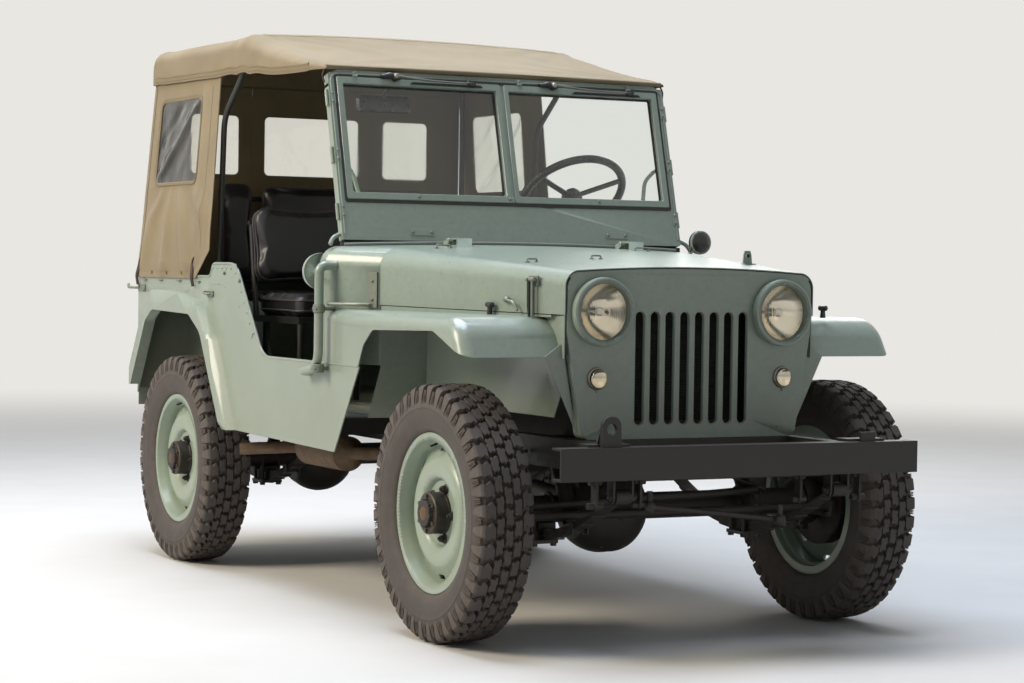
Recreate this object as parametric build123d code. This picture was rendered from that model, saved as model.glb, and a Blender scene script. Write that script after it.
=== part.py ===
from build123d import *
import math
import os

# Light open-topped 4x4 car with a canvas top, in millimetres.
# X points to the car's left, Y to its back and Z up, from the floor under the middle of the car.
# Places along the car are counted back from the front axle and turned into Y by at().
# Heights are drawn with the axles at AXLE_Z, and a taller tyre lifts the whole car.

# Overall sizes
WHEELBASE = 2032.0
TRACK = 1240.0
AXLE_Z = 356.0
FRONT_OVERHANG = 526.0
TAIL_OVERHANG = 488.0
BODY_HALF = 660.0
ROOF_TOP = 1806.0

# Wheels and tyres
TYRE_R = 356.0
TYRE_W = 165.0
SEAT_R = 203.0
FLANGE_R = 221.5
RIM_HALF = 61.0
RIM_WALL = 5.0
DISC_FACE = 20.0
HUB_END = 84.0
TYRE_GAP = 0.3

# Axles, steering and springs
SPINDLE_R = 25.0
RUN_FIT = 0.05
BALL_R = 62.0
SHELL_R = 74.0
BALL_FIT = 0.5
KINGPIN_IN = 85.0
DRUM_R = 130.0
DRUM_IN = -32.0
DRUM_OUT = 13.0
ARM_LENGTH = 150.0
ARM_TOP = AXLE_Z - 21
TIE_ROD_R = 12.0
AXLE_TUBE_R = 38.0
DIFF_R = 128.0
DIFF_X = -150.0
RAIL_X = 345.0
RAIL_W = 44.0
RAIL_LOW = 482.0
RAIL_HIGH = 565.0
OUTRIGGERS = (760.0, 1400.0)
OUTRIGGER_LOW = 520.0
SPRING_HALF = 455.0
SPRING_W = 44.0
SPRING_T = 28.0
EYE_Z = 440.0

# Sheet metal and clearances
SHEET = 3.0
PANEL = 4.0
FIT = 0.3

# Bumper
BUMPER_HALF = 565.0
BUMPER_LOW = RAIL_LOW - 2
BUMPER_HIGH = RAIL_HIGH + 2
BUMPER_DEPTH = 50.0
BUMPER_T = 6.0
LUG_X = -407.0
LUG_HOLE_R = 15.0
LUG_HOLE_Z = BUMPER_HIGH + 47
EYE_HOLE_R = 14.0

# Grille, hood and fenders
GRILLE_Y = -240.0
GRILLE_HALF = 395.0
GRILLE_FOOT_HALF = 345.0
GRILLE_LOW = RAIL_HIGH + 1
GRILLE_HIGH = 1019.0
GRILLE_DEPTH = 42.0
SLOTS = 8
SLOT_PITCH = 47.7
SLOT_W = 30.0
SLOT_LOW = 604.0
SLOT_HIGH = 916.0
HEADLIGHT_X = 290.0
HEADLIGHT_Z = 915.0
HEADLIGHT_R = 77.0
BEZEL_W = 16.0
BEZEL_R = HEADLIGHT_R + BEZEL_W
MARKER_X = 301.0
MARKER_Z = 733.0
MARKER_R = 26.0
HOOD_FRONT_HALF = 403.0
HOOD_REAR_HALF = 560.0
HOOD_FRONT_TOP = 1028.0
HOOD_REAR_TOP = 1086.0
HOOD_CROWN = 12.0
HOOD_SHOULDER = 45.0
COWL_SHOULDER = 60.0
FENDER_TOP = 900.0
FENDER_NOSE = -220.0
FENDER_NOSE_LOW = 790.0
FENDER_SLOPE = 62.0
FENDER_BEND = 120.0
FENDER_ROUND = 38.0
APRON_X = 400.0
APRON_LOW = 625.0

# Cowl, dashboard and windshield
FIREWALL_Y = 624.0
COWL_WIDE_Y = 800.0
COWL_BACK_Y = 842.0
SILL_Z = 735.0
HINGE_R = 5.0
HINGE_Z = HOOD_REAR_TOP + 23
SCREEN_Y = 820.0
SCREEN_HIGH = 1632.0
SCREEN_RAKE = 14.9
SCREEN_HALF = BODY_HALF - 60
SCREEN_T = 30.0
SCREEN_TIP = SCREEN_T / 2 * math.sin(math.radians(SCREEN_RAKE))
COWL_TOP = HOOD_REAR_TOP + 4
SCREEN_LOW = COWL_TOP + HOOD_CROWN + SCREEN_TIP + FIT
SCREEN_RUN = (SCREEN_HIGH - SCREEN_LOW) * math.tan(math.radians(SCREEN_RAKE))
PANE_HALF = SCREEN_HALF - 45
PANE_POST = 21.0
PANE_LOW = COWL_TOP + 162
PANE_HIGH = SCREEN_HIGH - 35
GLASS_T = 6.0

# Tub
TAIL_Y = WHEELBASE + TAIL_OVERHANG
FLOOR_Z = RAIL_HIGH + 11
TUB_TOP = 985.0
TUB_LOW = 471.0
TUB_FRONT = 717.0
DOOR_BACK = WHEELBASE - 732
CAP_Y = WHEELBASE - 482
CAP_BACK = WHEELBASE - 252
HOUSE_FRONT = WHEELBASE - 442
CAP_Z = TUB_TOP + 47
HOUSE_X = 470.0
HOUSE_Z = 905.0
FLARE = 35.0

# Canvas top and bows
TOP_HALF = BODY_HALF - 38
TOP_RAIL_X = TOP_HALF - 52
EAVE_Z = ROOF_TOP - 144
HEADER_Y = SCREEN_Y + SCREEN_RUN - 19
HEADER_BACK = HEADER_Y + 57
HEADER_Z = SCREEN_HIGH + SCREEN_TIP + FIT
BOW_FOOT = CAP_BACK + 80
BOW_Y = BOW_FOOT - 260
REAR_BOW_Y = TAIL_Y - 90
ROOF_BACK = TAIL_Y - 30
CANVAS_T = 6.0
CURTAIN_HALF = TOP_HALF - CANVAS_T - FIT
CURTAIN_LOW = TUB_TOP + FIT
CURTAIN_HIGH = EAVE_Z + 24
CURTAIN_T = 4.0
CURTAIN_PANE = (1315.0, 1605.0)
REAR_PANE = (1360.0, 1580.0)
ROOF_CROWN = 40.0
ROOF_SHOULDER = 80.0
BOW_R = 16.0
BOW_FIT = 0.8

# Seats and steering wheel
SEAT_IN = 170.0
SEAT_OUT = 565.0
CUSHION_LOW = 862.0
CUSHION_HIGH = 935.0
WHEEL_X = 330.0
WHEEL_Y = 1050.0
WHEEL_Z = 1255.0
WHEEL_R = 190.0
WHEEL_RIM_R = 13.0
COLUMN_R = 20.0
COLUMN_TILT = 48.0
GEAR_REACH = 65.0

# Grab tubes and mirrors
GRAB_X = BODY_HALF + 32
GRAB_R = 14.0
GRAB_Y = 770.0

# Spare wheel
SPARE_X = -220.0
SPARE_Z = RAIL_LOW + 62 + TYRE_R
SPARE_GAP = 25.0

BACK_END = TAIL_Y + SPARE_GAP + TYRE_W
FRONT_AXLE_Y = -(BACK_END - FRONT_OVERHANG) / 2


def at(y):
    return FRONT_AXLE_Y + y


def box(x0, x1, y0, y1, z0, z1):
    middle = Pos((x0 + x1) / 2, at((y0 + y1) / 2), (z0 + z1) / 2)
    return middle * Box(x1 - x0, y1 - y0, z1 - z0)


def pair(part):
    return part + mirror(part, about=Plane.YZ)


def outline_face(rows):
    # Each row is one corner: across, up, corner radius.
    points = [(row[0], row[1]) for row in rows]
    return make_face(FilletPolyline(*points, radius=[row[2] for row in rows], close=True))


def side_plate(rows, x0, x1):
    # Each row is one corner: place along the car, height, corner radius.
    face = outline_face([(at(y), z, r) for y, z, r in rows])
    return extrude(Plane.YZ.offset(x0) * face, amount=x1 - x0)


def upright(y):
    return Plane(origin=(0, at(y), 0), x_dir=(1, 0, 0), z_dir=(0, -1, 0))


def front_plate(rows, y_front, y_back):
    # Each row is one corner: across the car, height, corner radius.
    return extrude(upright(y_back) * outline_face(rows), amount=y_back - y_front)


def arch(y, half, low, high, shoulder, crown):
    # Closed section across the car: flat foot, upright sides, round shoulders, crowned top.
    bend = shoulder * (1 - math.sqrt(0.5))
    foot_l = (-half, low)
    foot_r = (half, low)
    side_l = (-half, high - shoulder)
    side_r = (half, high - shoulder)
    top_l = (-half + shoulder, high)
    top_r = (half - shoulder, high)
    edges = [
        Line(foot_l, side_l),
        ThreePointArc(side_l, (-half + bend, high - bend), top_l),
        ThreePointArc(top_l, (0, high + crown), top_r),
        ThreePointArc(top_r, (half - bend, high - bend), side_r),
        Line(side_r, foot_r),
        Line(foot_r, foot_l),
    ]
    return upright(y) * make_face(Wire(edges))


def skin(sections, wall, ends):
    # Sheet over an arched loft, open below; ends says if its front and back are open.
    outer = loft([arch(*row) for row in sections], ruled=True)
    inner_rows = []
    last = len(sections) - 1
    for place, (y, half, low, high, shoulder, crown) in enumerate(sections):
        over = 0.0
        if place == 0 and ends[0]:
            over = -1.0
        if place == last and ends[1]:
            over = 1.0
        if place == 0 and not ends[0]:
            over = wall
        if place == last and not ends[1]:
            over = -wall
        inner_rows.append((y + over, half - wall, low - 5, high - wall, shoulder - wall, crown))
    return outer - loft([arch(*row) for row in inner_rows], ruled=True)


def rod(start, end, radius):
    # Round bar between two points given as across, along, up.
    p = Vector(start[0], at(start[1]), start[2])
    q = Vector(end[0], at(end[1]), end[2])
    plane = Plane(origin=p, z_dir=q - p)
    return plane * Cylinder(radius, (q - p).length, align=(Align.CENTER, Align.CENTER, Align.MIN))


def tube(points, radii, radius):
    path = FilletPolyline(*[(x, at(y), z) for x, y, z in points], radius=radii)
    return sweep(Plane(origin=path @ 0, z_dir=path % 0) * Circle(radius), path=path)


def across(x, y, z, radius, length):
    # Cylinder along X from x outwards by length.
    plane = Plane(origin=(x, at(y), z), z_dir=(math.copysign(1, length), 0, 0))
    return plane * Cylinder(radius, abs(length), align=(Align.CENTER, Align.CENTER, Align.MIN))


def forward(x, y, z, radius, length):
    # Cylinder along Y from y backwards by length.
    plane = Plane(origin=(x, at(y), z), z_dir=(0, 1, 0))
    return plane * Cylinder(radius, length, align=(Align.CENTER, Align.CENTER, Align.MIN))


def spun(rows):
    # Ring turned about the wheel's axis. Each row is one corner: radius, outboard place.
    face = make_face(Polyline(*[(r, x) for r, x in rows], close=True))
    return Plane.YZ * revolve(Plane.XZ * face, axis=Axis.Z)


# Wheels and tyres

def wheel_disc():
    rim = spun([
        (SEAT_R - RIM_WALL, -RIM_HALF), (FLANGE_R, -RIM_HALF), (FLANGE_R, -RIM_HALF + 4),
        (SEAT_R, -RIM_HALF + 4), (SEAT_R, RIM_HALF - 4), (FLANGE_R, RIM_HALF - 4),
        (FLANGE_R, RIM_HALF), (SEAT_R - RIM_WALL, RIM_HALF),
    ])
    face = DISC_FACE
    disc = spun([
        (SPINDLE_R + RUN_FIT, face), (92, face), (104, face + 16), (140, face + 18),
        (165, face + 2), (SEAT_R - RIM_WALL + 1, face - 14), (SEAT_R - RIM_WALL + 1, face - 7),
        (167, face + 8), (142, face + 24), (101, face + 22), (89, face + 6),
        (SPINDLE_R + RUN_FIT, face + 6),
    ])
    hub = spun([
        (SPINDLE_R + RUN_FIT, face + 6), (58, face + 6), (56, HUB_END - 14), (38, HUB_END - 12),
        (36, HUB_END), (0, HUB_END), (0, HUB_END - 5), (SPINDLE_R + RUN_FIT, HUB_END - 5),
    ])
    wheel = rim + disc + hub
    for place in range(8):
        slot = Rot(X=place * 45) * Pos(0, 177, 0) * Box(80, 13, 34)
        wheel -= slot
    return wheel


def tyre():
    bead = RIM_HALF - 4 - TYRE_GAP
    half = TYRE_W / 2
    rows = [
        (SEAT_R + TYRE_GAP, -bead), (FLANGE_R + 1, -bead), (FLANGE_R + 12, -bead - 14),
        (268, -half), (TYRE_R - 44, -half), (TYRE_R - 18, -half + 7), (TYRE_R, -half + 20),
        (TYRE_R, half - 20), (TYRE_R - 18, half - 7), (TYRE_R - 44, half), (268, half),
        (FLANGE_R + 12, bead + 14), (FLANGE_R + 1, bead), (SEAT_R + TYRE_GAP, bead),
    ]
    return spun(rows)


# End of the car, side: along, sign of X
WHEEL_PLACES = {
    "front_right": (0.0, -1),
    "front_left": (0.0, 1),
    "rear_right": (WHEELBASE, -1),
    "rear_left": (WHEELBASE, 1),
}


def on_axle(part, y, sign):
    # Outboard is +X on the left and -X on the right.
    turn = Rot(Z=0) if sign > 0 else Rot(Z=180)
    return Pos(sign * TRACK / 2, at(y), AXLE_Z) * turn * part


# Axles

def drum_and_spindle():
    drum = Pos(DRUM_IN, 0, 0) * Rot(Y=90) * Cylinder(
        DRUM_R, DRUM_OUT - DRUM_IN, align=(Align.CENTER, Align.CENTER, Align.MIN))
    spindle = Rot(Y=90) * Cylinder(
        SPINDLE_R, HUB_END - 10, align=(Align.CENTER, Align.CENTER, Align.MIN))
    return drum + spindle


def knuckle(sign):
    pivot = Pos(-KINGPIN_IN, 0, 0)
    shell = pivot * Sphere(SHELL_R)
    shell -= pivot * Pos(-SHELL_R - 20, 0, 0) * Box(2 * SHELL_R, 3 * SHELL_R, 3 * SHELL_R)
    cap = pivot * Pos(0, 0, SHELL_R) * Cylinder(24, 22)
    cap += pivot * Pos(0, 0, -SHELL_R) * Cylinder(24, 22)
    arm_z = ARM_TOP - AXLE_Z - 7
    arm = Pos(-KINGPIN_IN, -ARM_LENGTH / 2 - 25, arm_z) * Box(28, ARM_LENGTH - 50, 14)
    arm += Pos(-KINGPIN_IN, -ARM_LENGTH, arm_z) * Cylinder(18, 14)
    part = shell + cap + mirror_arm(arm, sign) + drum_and_spindle()
    part -= pivot * Sphere(BALL_R + BALL_FIT)
    return on_axle(part, 0, sign)


def mirror_arm(arm, sign):
    # The arm points forwards on both sides, so the right one is turned over first.
    return arm if sign > 0 else mirror(arm, about=Plane.XZ)


def diff(y, nose):
    bowl = Pos(DIFF_X, at(y), AXLE_Z) * Sphere(DIFF_R)
    bowl &= Pos(DIFF_X, at(y), AXLE_Z) * Box(190, 3 * DIFF_R, 3 * DIFF_R)
    pinion = rod((DIFF_X, y + nose * 90, AXLE_Z), (DIFF_X, y + nose * 205, AXLE_Z + 8), 46)
    return bowl + pinion


def front_axle():
    ball_x = TRACK / 2 - KINGPIN_IN
    beam = across(-ball_x, 0, AXLE_Z, AXLE_TUBE_R, 2 * ball_x)
    for sign in (-1, 1):
        beam += Pos(sign * ball_x, at(0), AXLE_Z) * Sphere(BALL_R)
    return beam + diff(0, 1)


def rear_axle():
    end = TRACK / 2 + DRUM_IN
    beam = across(-end, WHEELBASE, AXLE_Z, AXLE_TUBE_R, 2 * end) + diff(WHEELBASE, -1)
    for sign in (-1, 1):
        beam += on_axle(drum_and_spindle(), WHEELBASE, sign)
    return beam


def tie_rod():
    end = TRACK / 2 - KINGPIN_IN
    z = ARM_TOP + FIT + 16
    bar = across(-end, -ARM_LENGTH, z, TIE_ROD_R, 2 * end)
    for sign in (-1, 1):
        bar += Pos(sign * end, at(-ARM_LENGTH), z) * Cylinder(16, 32)
    return bar


def leaf_spring(y, sign):
    # Bowed pack of leaves with its clamp, hanging from the rail by an eye at each end.
    low = AXLE_Z - AXLE_TUBE_R - SPRING_T - 14
    start = (at(y - SPRING_HALF), EYE_Z - SPRING_T)
    middle = (at(y), low)
    end = (at(y + SPRING_HALF), EYE_Z - SPRING_T)
    up = (0, SPRING_T)
    lower = ThreePointArc(start, middle, end)
    top_start = (start[0], start[1] + up[1])
    top_middle = (middle[0], middle[1] + up[1])
    top_end = (end[0], end[1] + up[1])
    upper = ThreePointArc(top_end, top_middle, top_start)
    face = make_face(Wire([lower, Line(end, top_end), upper, Line(top_start, start)]))
    x0 = sign * RAIL_X - SPRING_W / 2
    spring = extrude(Plane.YZ.offset(x0) * face, amount=SPRING_W)
    for place in (y - SPRING_HALF, y + SPRING_HALF):
        spring += across(x0, place, EYE_Z - 8, 20, SPRING_W)
        spring += box(x0, x0 + SPRING_W, place - 14, place + 14, EYE_Z - 8, RAIL_LOW)
    seat_top = AXLE_Z - AXLE_TUBE_R + 12
    clamp = box(x0, x0 + SPRING_W, y - 45, y + 45, low - 8, seat_top)
    clamp -= across(x0 - 1, y, AXLE_Z, AXLE_TUBE_R, SPRING_W + 2)
    return spring + clamp


def leaf_springs():
    rows = [(0, -1), (0, 1), (WHEELBASE, -1), (WHEELBASE, 1)]
    return [leaf_spring(y, sign) for y, sign in rows]


def shock_absorbers():
    # Axle place, lean along the car
    rows = [(0.0, 1), (WHEELBASE, -1)]
    parts = []
    x = RAIL_X - RAIL_W / 2 - 28
    for y, lean in rows:
        for sign in (-1, 1):
            low = (sign * x, y - lean * 108, AXLE_Z - 22)
            high = (sign * x, y + lean * 20, RAIL_HIGH - 30)
            body = rod(low, high, 22)
            body += across(sign * x, high[1], high[2], 12, sign * (RAIL_X - RAIL_W / 2 - x))
            body += across(sign * x, low[1], low[2], 12, sign * (RAIL_X - SPRING_W / 2 - x))
            parts.append(body)
    return parts


def chassis_frame():
    front = -FRONT_OVERHANG + BUMPER_DEPTH
    rail = box(RAIL_X - RAIL_W / 2, RAIL_X + RAIL_W / 2, front, TAIL_Y - 8, RAIL_LOW, RAIL_HIGH)
    frame = pair(rail)
    inner = RAIL_X - RAIL_W / 2
    # Cross member: along, half length along, low, high
    members = [
        (-420, 40, RAIL_LOW + 8, RAIL_HIGH - 12),
        (GRILLE_Y + 61, 60, RAIL_LOW + 22, RAIL_HIGH),
        (1240, 45, RAIL_LOW, RAIL_LOW + 30),
        (WHEELBASE - 332, 35, RAIL_LOW + 8, RAIL_HIGH - 12),
        (TAIL_Y - 43, 35, RAIL_LOW, RAIL_HIGH - 4),
    ]
    for y, half, low, high in members:
        frame += box(-inner, inner, y - half, y + half, low, high)
    # Outriggers that carry the tub: along
    for y in OUTRIGGERS:
        arm = box(RAIL_X + RAIL_W / 2, BODY_HALF - PANEL, y - 25, y + 25, OUTRIGGER_LOW, FLOOR_Z - PANEL)
        frame += pair(arm)
    return frame


def front_bumper():
    y0 = -FRONT_OVERHANG
    y1 = y0 + BUMPER_DEPTH
    beam = box(-BUMPER_HALF, BUMPER_HALF, y0, y1, BUMPER_LOW, BUMPER_HIGH)
    beam -= box(-BUMPER_HALF - 1, BUMPER_HALF + 1, y0 + BUMPER_T, y1 + 1,
                BUMPER_LOW + BUMPER_T, BUMPER_HIGH - BUMPER_T)
    return beam


def tow_lugs():
    y0 = -FRONT_OVERHANG + 14
    lug = front_plate([
        (LUG_X - 30, BUMPER_HIGH, 0), (LUG_X + 30, BUMPER_HIGH, 0),
        (LUG_X + 26, LUG_HOLE_Z + 33, 24), (LUG_X - 26, LUG_HOLE_Z + 33, 24),
    ], y0, y0 + 14)
    lug -= forward(LUG_X, y0 - 1, LUG_HOLE_Z, LUG_HOLE_R, 16)
    bracket = box(-LUG_X - 24, -LUG_X + 24, y0, y0 + 8, BUMPER_HIGH, BUMPER_HIGH + 26)
    drawbar = box(-45, 45, TAIL_Y - 8, TAIL_Y + 78, RAIL_LOW + 14, RAIL_LOW + 30)
    drawbar -= Pos(0, at(TAIL_Y + 48), RAIL_LOW) * Cylinder(EYE_HOLE_R, 80)
    return [lug, bracket, drawbar]


# Drive line

def engine_block():
    inner = RAIL_X - RAIL_W / 2
    return box(-150, 110, 30, 560, 505, 965) + box(-inner, inner, 160, 215, 530, 548)


def gearbox():
    case = box(-100, 100, 660, 1000, 400, 560) + box(-205, 95, 1000, 1185, 385, 560)
    return case + rod((DIFF_X, 940, 425), (DIFF_X, 1250, 425), 34)


def propshafts():
    front = rod((DIFF_X, 195, AXLE_Z + 8), (DIFF_X, 955, 425), 24)
    rear = rod((DIFF_X, 1235, 425), (DIFF_X, WHEELBASE - 195, AXLE_Z + 8), 24)
    return [front - gearbox() - front_axle(), rear - gearbox() - rear_axle()]


def exhaust():
    pipe = tube([(-190, 575, 452), (-240, 760, 440), (-285, 1000, 436), (-430, 1150, 430)],
                [60, 80], 20)
    pipe += rod((-430, 1130, 430), (-430, 1440, 430), 56)
    pipe += box(-440, -420, OUTRIGGERS[1] - 3, OUTRIGGERS[1] + 3, 470, OUTRIGGER_LOW)
    pipe += tube([(-430, 1400, 430), (-430, 1490, 428), (-632, 1562, 420)], [50], 20)
    return pipe


def fuel_tank():
    return box(225, 510, 1310, 1560, FLOOR_Z, 775)


# Tub

# Edge of the rear wheel opening: along from the rear axle, up, corner radius
ARCH_ROWS = [(-465, 484, 0), (-427, 505, 10), (-242, 800, 90), (-132, 858, 60), (243, 866, 50),
             (313, 826, 40), (468, 590, 0)]
# Foot of the flare on the side: along from the rear axle, up, corner radius
FLARE_ROWS = [(-502, 484, 0), (-320, 790, 90), (-197, 900, 70), (-22, 930, 60),
              (258, 938, 60), (353, 850, 50), (484, 650, 0), (484, 590, 0)]


def from_rear_axle(rows):
    return [(WHEELBASE + y, z, r) for y, z, r in rows]



def side_panel():
    rows = [(TUB_FRONT, TUB_LOW, 0)] + from_rear_axle(ARCH_ROWS) + [
        (TAIL_Y, 560, 0), (TAIL_Y, TUB_TOP, 0), (CAP_BACK, TUB_TOP, 6), (CAP_BACK - 16, CAP_Z, 12),
        (CAP_Y, CAP_Z, 12), (DOOR_BACK, SILL_Z, 55), (540, SILL_Z, 0),
    ]
    panel = side_plate(rows, BODY_HALF - PANEL, BODY_HALF)
    flare = side_plate(from_rear_axle(FLARE_ROWS + ARCH_ROWS[::-1]), BODY_HALF, BODY_HALF + FLARE)
    rail = box(TOP_RAIL_X, BODY_HALF - PANEL, CAP_BACK + 10, TAIL_Y - PANEL, TUB_TOP - 22, TUB_TOP)
    return panel + flare + rail


def floor_pan():
    inner = BODY_HALF - PANEL
    pan = box(-inner, inner, 720, HOUSE_FRONT, FLOOR_Z - PANEL, FLOOR_Z)
    pan += box(-HOUSE_X, HOUSE_X, HOUSE_FRONT, TAIL_Y - PANEL, FLOOR_Z - PANEL, FLOOR_Z)
    return pan


def tail_panel():
    inner = BODY_HALF - PANEL
    panel = box(-inner, inner, TAIL_Y - PANEL, TAIL_Y, 515, TUB_TOP)
    panel += box(-inner, inner, TAIL_Y, TAIL_Y + 3, TUB_TOP - 12, TUB_TOP)
    panel += box(-TOP_RAIL_X, TOP_RAIL_X, TAIL_Y - 56, TAIL_Y - PANEL, TUB_TOP - 22, TUB_TOP)
    return panel


def wheelhouse():
    outer = BODY_HALF - PANEL
    front = HOUSE_FRONT
    back = TAIL_Y - PANEL
    house = side_plate([
        (front, 505, 0), (front + 190, HOUSE_Z, 60), (back, HOUSE_Z, 0), (back, FLOOR_Z, 0),
        (back - 16, FLOOR_Z, 0), (back - 16, 505, 0),
    ], HOUSE_X, outer)
    house -= side_plate([
        (front + 8, 500, 0), (front + 190 + 2, HOUSE_Z - SHEET, 58), (back - SHEET, HOUSE_Z - SHEET, 0),
        (back - SHEET, 500, 0),
    ], HOUSE_X + SHEET, outer + 1)
    return house


# Cowl, dashboard and windshield

def cowl_rows():
    # Along, half width, low, high, shoulder radius, crown
    return [
        (FIREWALL_Y, HOOD_REAR_HALF, SILL_Z, HOOD_REAR_TOP, COWL_SHOULDER, HOOD_CROWN),
        (COWL_WIDE_Y, BODY_HALF, SILL_Z, COWL_TOP, COWL_SHOULDER, HOOD_CROWN),
        (COWL_BACK_Y, BODY_HALF, SILL_Z, COWL_TOP, COWL_SHOULDER, HOOD_CROWN),
    ]


def cowl_block():
    return loft([arch(*row) for row in cowl_rows()], ruled=True)


def cowl_half(y):
    share = (y - FIREWALL_Y) / (COWL_WIDE_Y - FIREWALL_Y)
    return HOOD_REAR_HALF + share * (BODY_HALF - HOOD_REAR_HALF)


def cowl():
    shell = skin(cowl_rows(), PANEL, (False, True))
    # Toe board and lower firewall down to the floor
    half = HOOD_REAR_HALF - 10
    shell += side_plate([
        (FIREWALL_Y, SILL_Z, 0), (FIREWALL_Y + PANEL, SILL_Z, 0), (720, FLOOR_Z, 0),
        (720, FLOOR_Z - PANEL, 0), (714, FLOOR_Z - PANEL, 0),
    ], -half, half)
    # Steering column and its hole
    shell -= column_line(COLUMN_R + 3)
    # Hood hinge pins on their ears
    for x in (-300, 300):
        for side in (-1, 1):
            ear = box(x + side * 34 - 3, x + side * 34 + 3, FIREWALL_Y, FIREWALL_Y + 24,
                      HOOD_REAR_TOP - 2, HINGE_Z + 2)
            ear += across(x + side * 34 - 3, FIREWALL_Y, HINGE_Z, HINGE_R + 5, 6)
            shell += ear
        shell += across(x - 34, FIREWALL_Y, HINGE_Z, HINGE_R, 68)
    return shell


def column_direction():
    tilt = math.radians(COLUMN_TILT)
    return (0.0, -math.cos(tilt), -math.sin(tilt))


def column_line(radius):
    length = 900.0
    d = column_direction()
    start = (WHEEL_X, WHEEL_Y, WHEEL_Z)
    end = (WHEEL_X, WHEEL_Y + d[1] * length, WHEEL_Z + d[2] * length)
    return rod(start, end, radius)


def steering_column():
    d = column_direction()
    start = (WHEEL_X, WHEEL_Y + d[1] * 8, WHEEL_Z + d[2] * 8)
    end_z = RAIL_HIGH + 36
    end_y = WHEEL_Y + (end_z - WHEEL_Z) * d[1] / d[2]
    column = rod(start, (WHEEL_X, end_y, end_z), COLUMN_R)
    cap = (WHEEL_X, WHEEL_Y + d[1] * 60, WHEEL_Z + d[2] * 60)
    column -= rod((WHEEL_X, WHEEL_Y, WHEEL_Z), cap, 9 + RUN_FIT)
    gear = box(WHEEL_X - 45, RAIL_X - RAIL_W / 2, end_y - 66, end_y + 19,
               RAIL_HIGH - GEAR_REACH, RAIL_HIGH + GEAR_REACH)
    return column + gear


def steering_wheel():
    d = column_direction()
    up = (0, -d[1], -d[2])
    hub_plane = Plane(origin=(WHEEL_X, at(WHEEL_Y), WHEEL_Z), x_dir=(1, 0, 0), z_dir=up)
    wheel = hub_plane * Pos(0, 0, 20) * Torus(WHEEL_R - WHEEL_RIM_R, WHEEL_RIM_R)
    wheel += hub_plane * Pos(0, 0, 12) * Cylinder(32, 24)
    for angle in (90, 210, 330):
        spoke = Rot(Z=angle) * Pos((WHEEL_R - WHEEL_RIM_R) / 2 + 8, 0, 16)
        wheel += hub_plane * spoke * Box(WHEEL_R - WHEEL_RIM_R - 22, 18, 7)
    wheel += hub_plane * Pos(0, 0, -20) * Cylinder(9, 60)
    return wheel


def dashboard():
    half = BODY_HALF - PANEL - FIT
    top = COWL_TOP - PANEL - FIT
    face = arch(COWL_BACK_Y - 22, half, top - 150, top, COWL_SHOULDER - PANEL, HOOD_CROWN)
    return extrude(face, amount=PANEL) - column_line(COLUMN_R + 3)


def screen_plane():
    rake = math.radians(SCREEN_RAKE)
    return Plane(origin=(0, at(SCREEN_Y), SCREEN_LOW), x_dir=(1, 0, 0),
                 z_dir=(0, -math.cos(rake), math.sin(rake)))


def along_screen(z):
    return (z - SCREEN_LOW) / math.cos(math.radians(SCREEN_RAKE))


def windshield_frame():
    top = along_screen(SCREEN_HIGH)
    face = outline_face([(-SCREEN_HALF, 0, 8), (SCREEN_HALF, 0, 8),
                         (SCREEN_HALF, top, 45), (-SCREEN_HALF, top, 45)])
    low = along_screen(PANE_LOW)
    high = along_screen(PANE_HIGH)
    for sign in (-1, 1):
        inner = sign * PANE_POST
        outer = sign * PANE_HALF
        face -= outline_face([(inner, low, 18), (outer, low, 18), (outer, high, 18), (inner, high, 18)])
    return screen_plane() * Pos(0, 0, -SCREEN_T / 2) * extrude(face, amount=SCREEN_T)


def windshield_glass():
    low = along_screen(PANE_LOW)
    high = along_screen(PANE_HIGH)
    panes = []
    for sign in (-1, 1):
        inner = sign * (PANE_POST + FIT)
        outer = sign * (PANE_HALF - FIT)
        face = outline_face([(inner, low + FIT, 18), (outer, low + FIT, 18),
                             (outer, high - FIT, 18), (inner, high - FIT, 18)])
        pane = screen_plane() * Pos(0, 0, -GLASS_T / 2) * extrude(face, amount=GLASS_T)
        panes.append(pane)
    return panes


# Front end

def slot_places():
    first = -(SLOTS - 1) / 2 * SLOT_PITCH
    return [first + place * SLOT_PITCH for place in range(SLOTS)]


def grille():
    def face(inset):
        return [
            (-GRILLE_FOOT_HALF + inset, GRILLE_LOW + inset, 25),
            (GRILLE_FOOT_HALF - inset, GRILLE_LOW + inset, 25),
            (GRILLE_HALF - inset, 860, 60),
            (GRILLE_HALF - inset, GRILLE_HIGH - inset, 40 - inset),
            (-GRILLE_HALF + inset, GRILLE_HIGH - inset, 40 - inset),
            (-GRILLE_HALF + inset, 860, 60),
        ]
    panel = front_plate(face(0), GRILLE_Y, GRILLE_Y + GRILLE_DEPTH)
    panel -= front_plate(face(SHEET), GRILLE_Y + SHEET, GRILLE_Y + GRILLE_DEPTH + 1)
    r = SLOT_W / 2
    for x in slot_places():
        panel -= front_plate([
            (x - r, SLOT_LOW, r - 0.1), (x + r, SLOT_LOW, r - 0.1),
            (x + r, SLOT_HIGH, r - 0.1), (x - r, SLOT_HIGH, r - 0.1),
        ], GRILLE_Y - 1, GRILLE_Y + SHEET + 1)
    for sign in (-1, 1):
        panel -= forward(sign * HEADLIGHT_X, GRILLE_Y - 1, HEADLIGHT_Z, HEADLIGHT_R + 3, SHEET + 2)
    # Feet down to the front cross member
    for sign in (-1, 1):
        x = sign * (GRILLE_FOOT_HALF - 70)
        panel += box(x - 30, x + 30, GRILLE_Y + SHEET, GRILLE_Y + GRILLE_DEPTH, RAIL_HIGH, GRILLE_LOW + 10)
    return panel


def radiator():
    return box(-255, 255, GRILLE_Y + 62, GRILLE_Y + 120, RAIL_HIGH, GRILLE_HIGH - 20)


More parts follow.
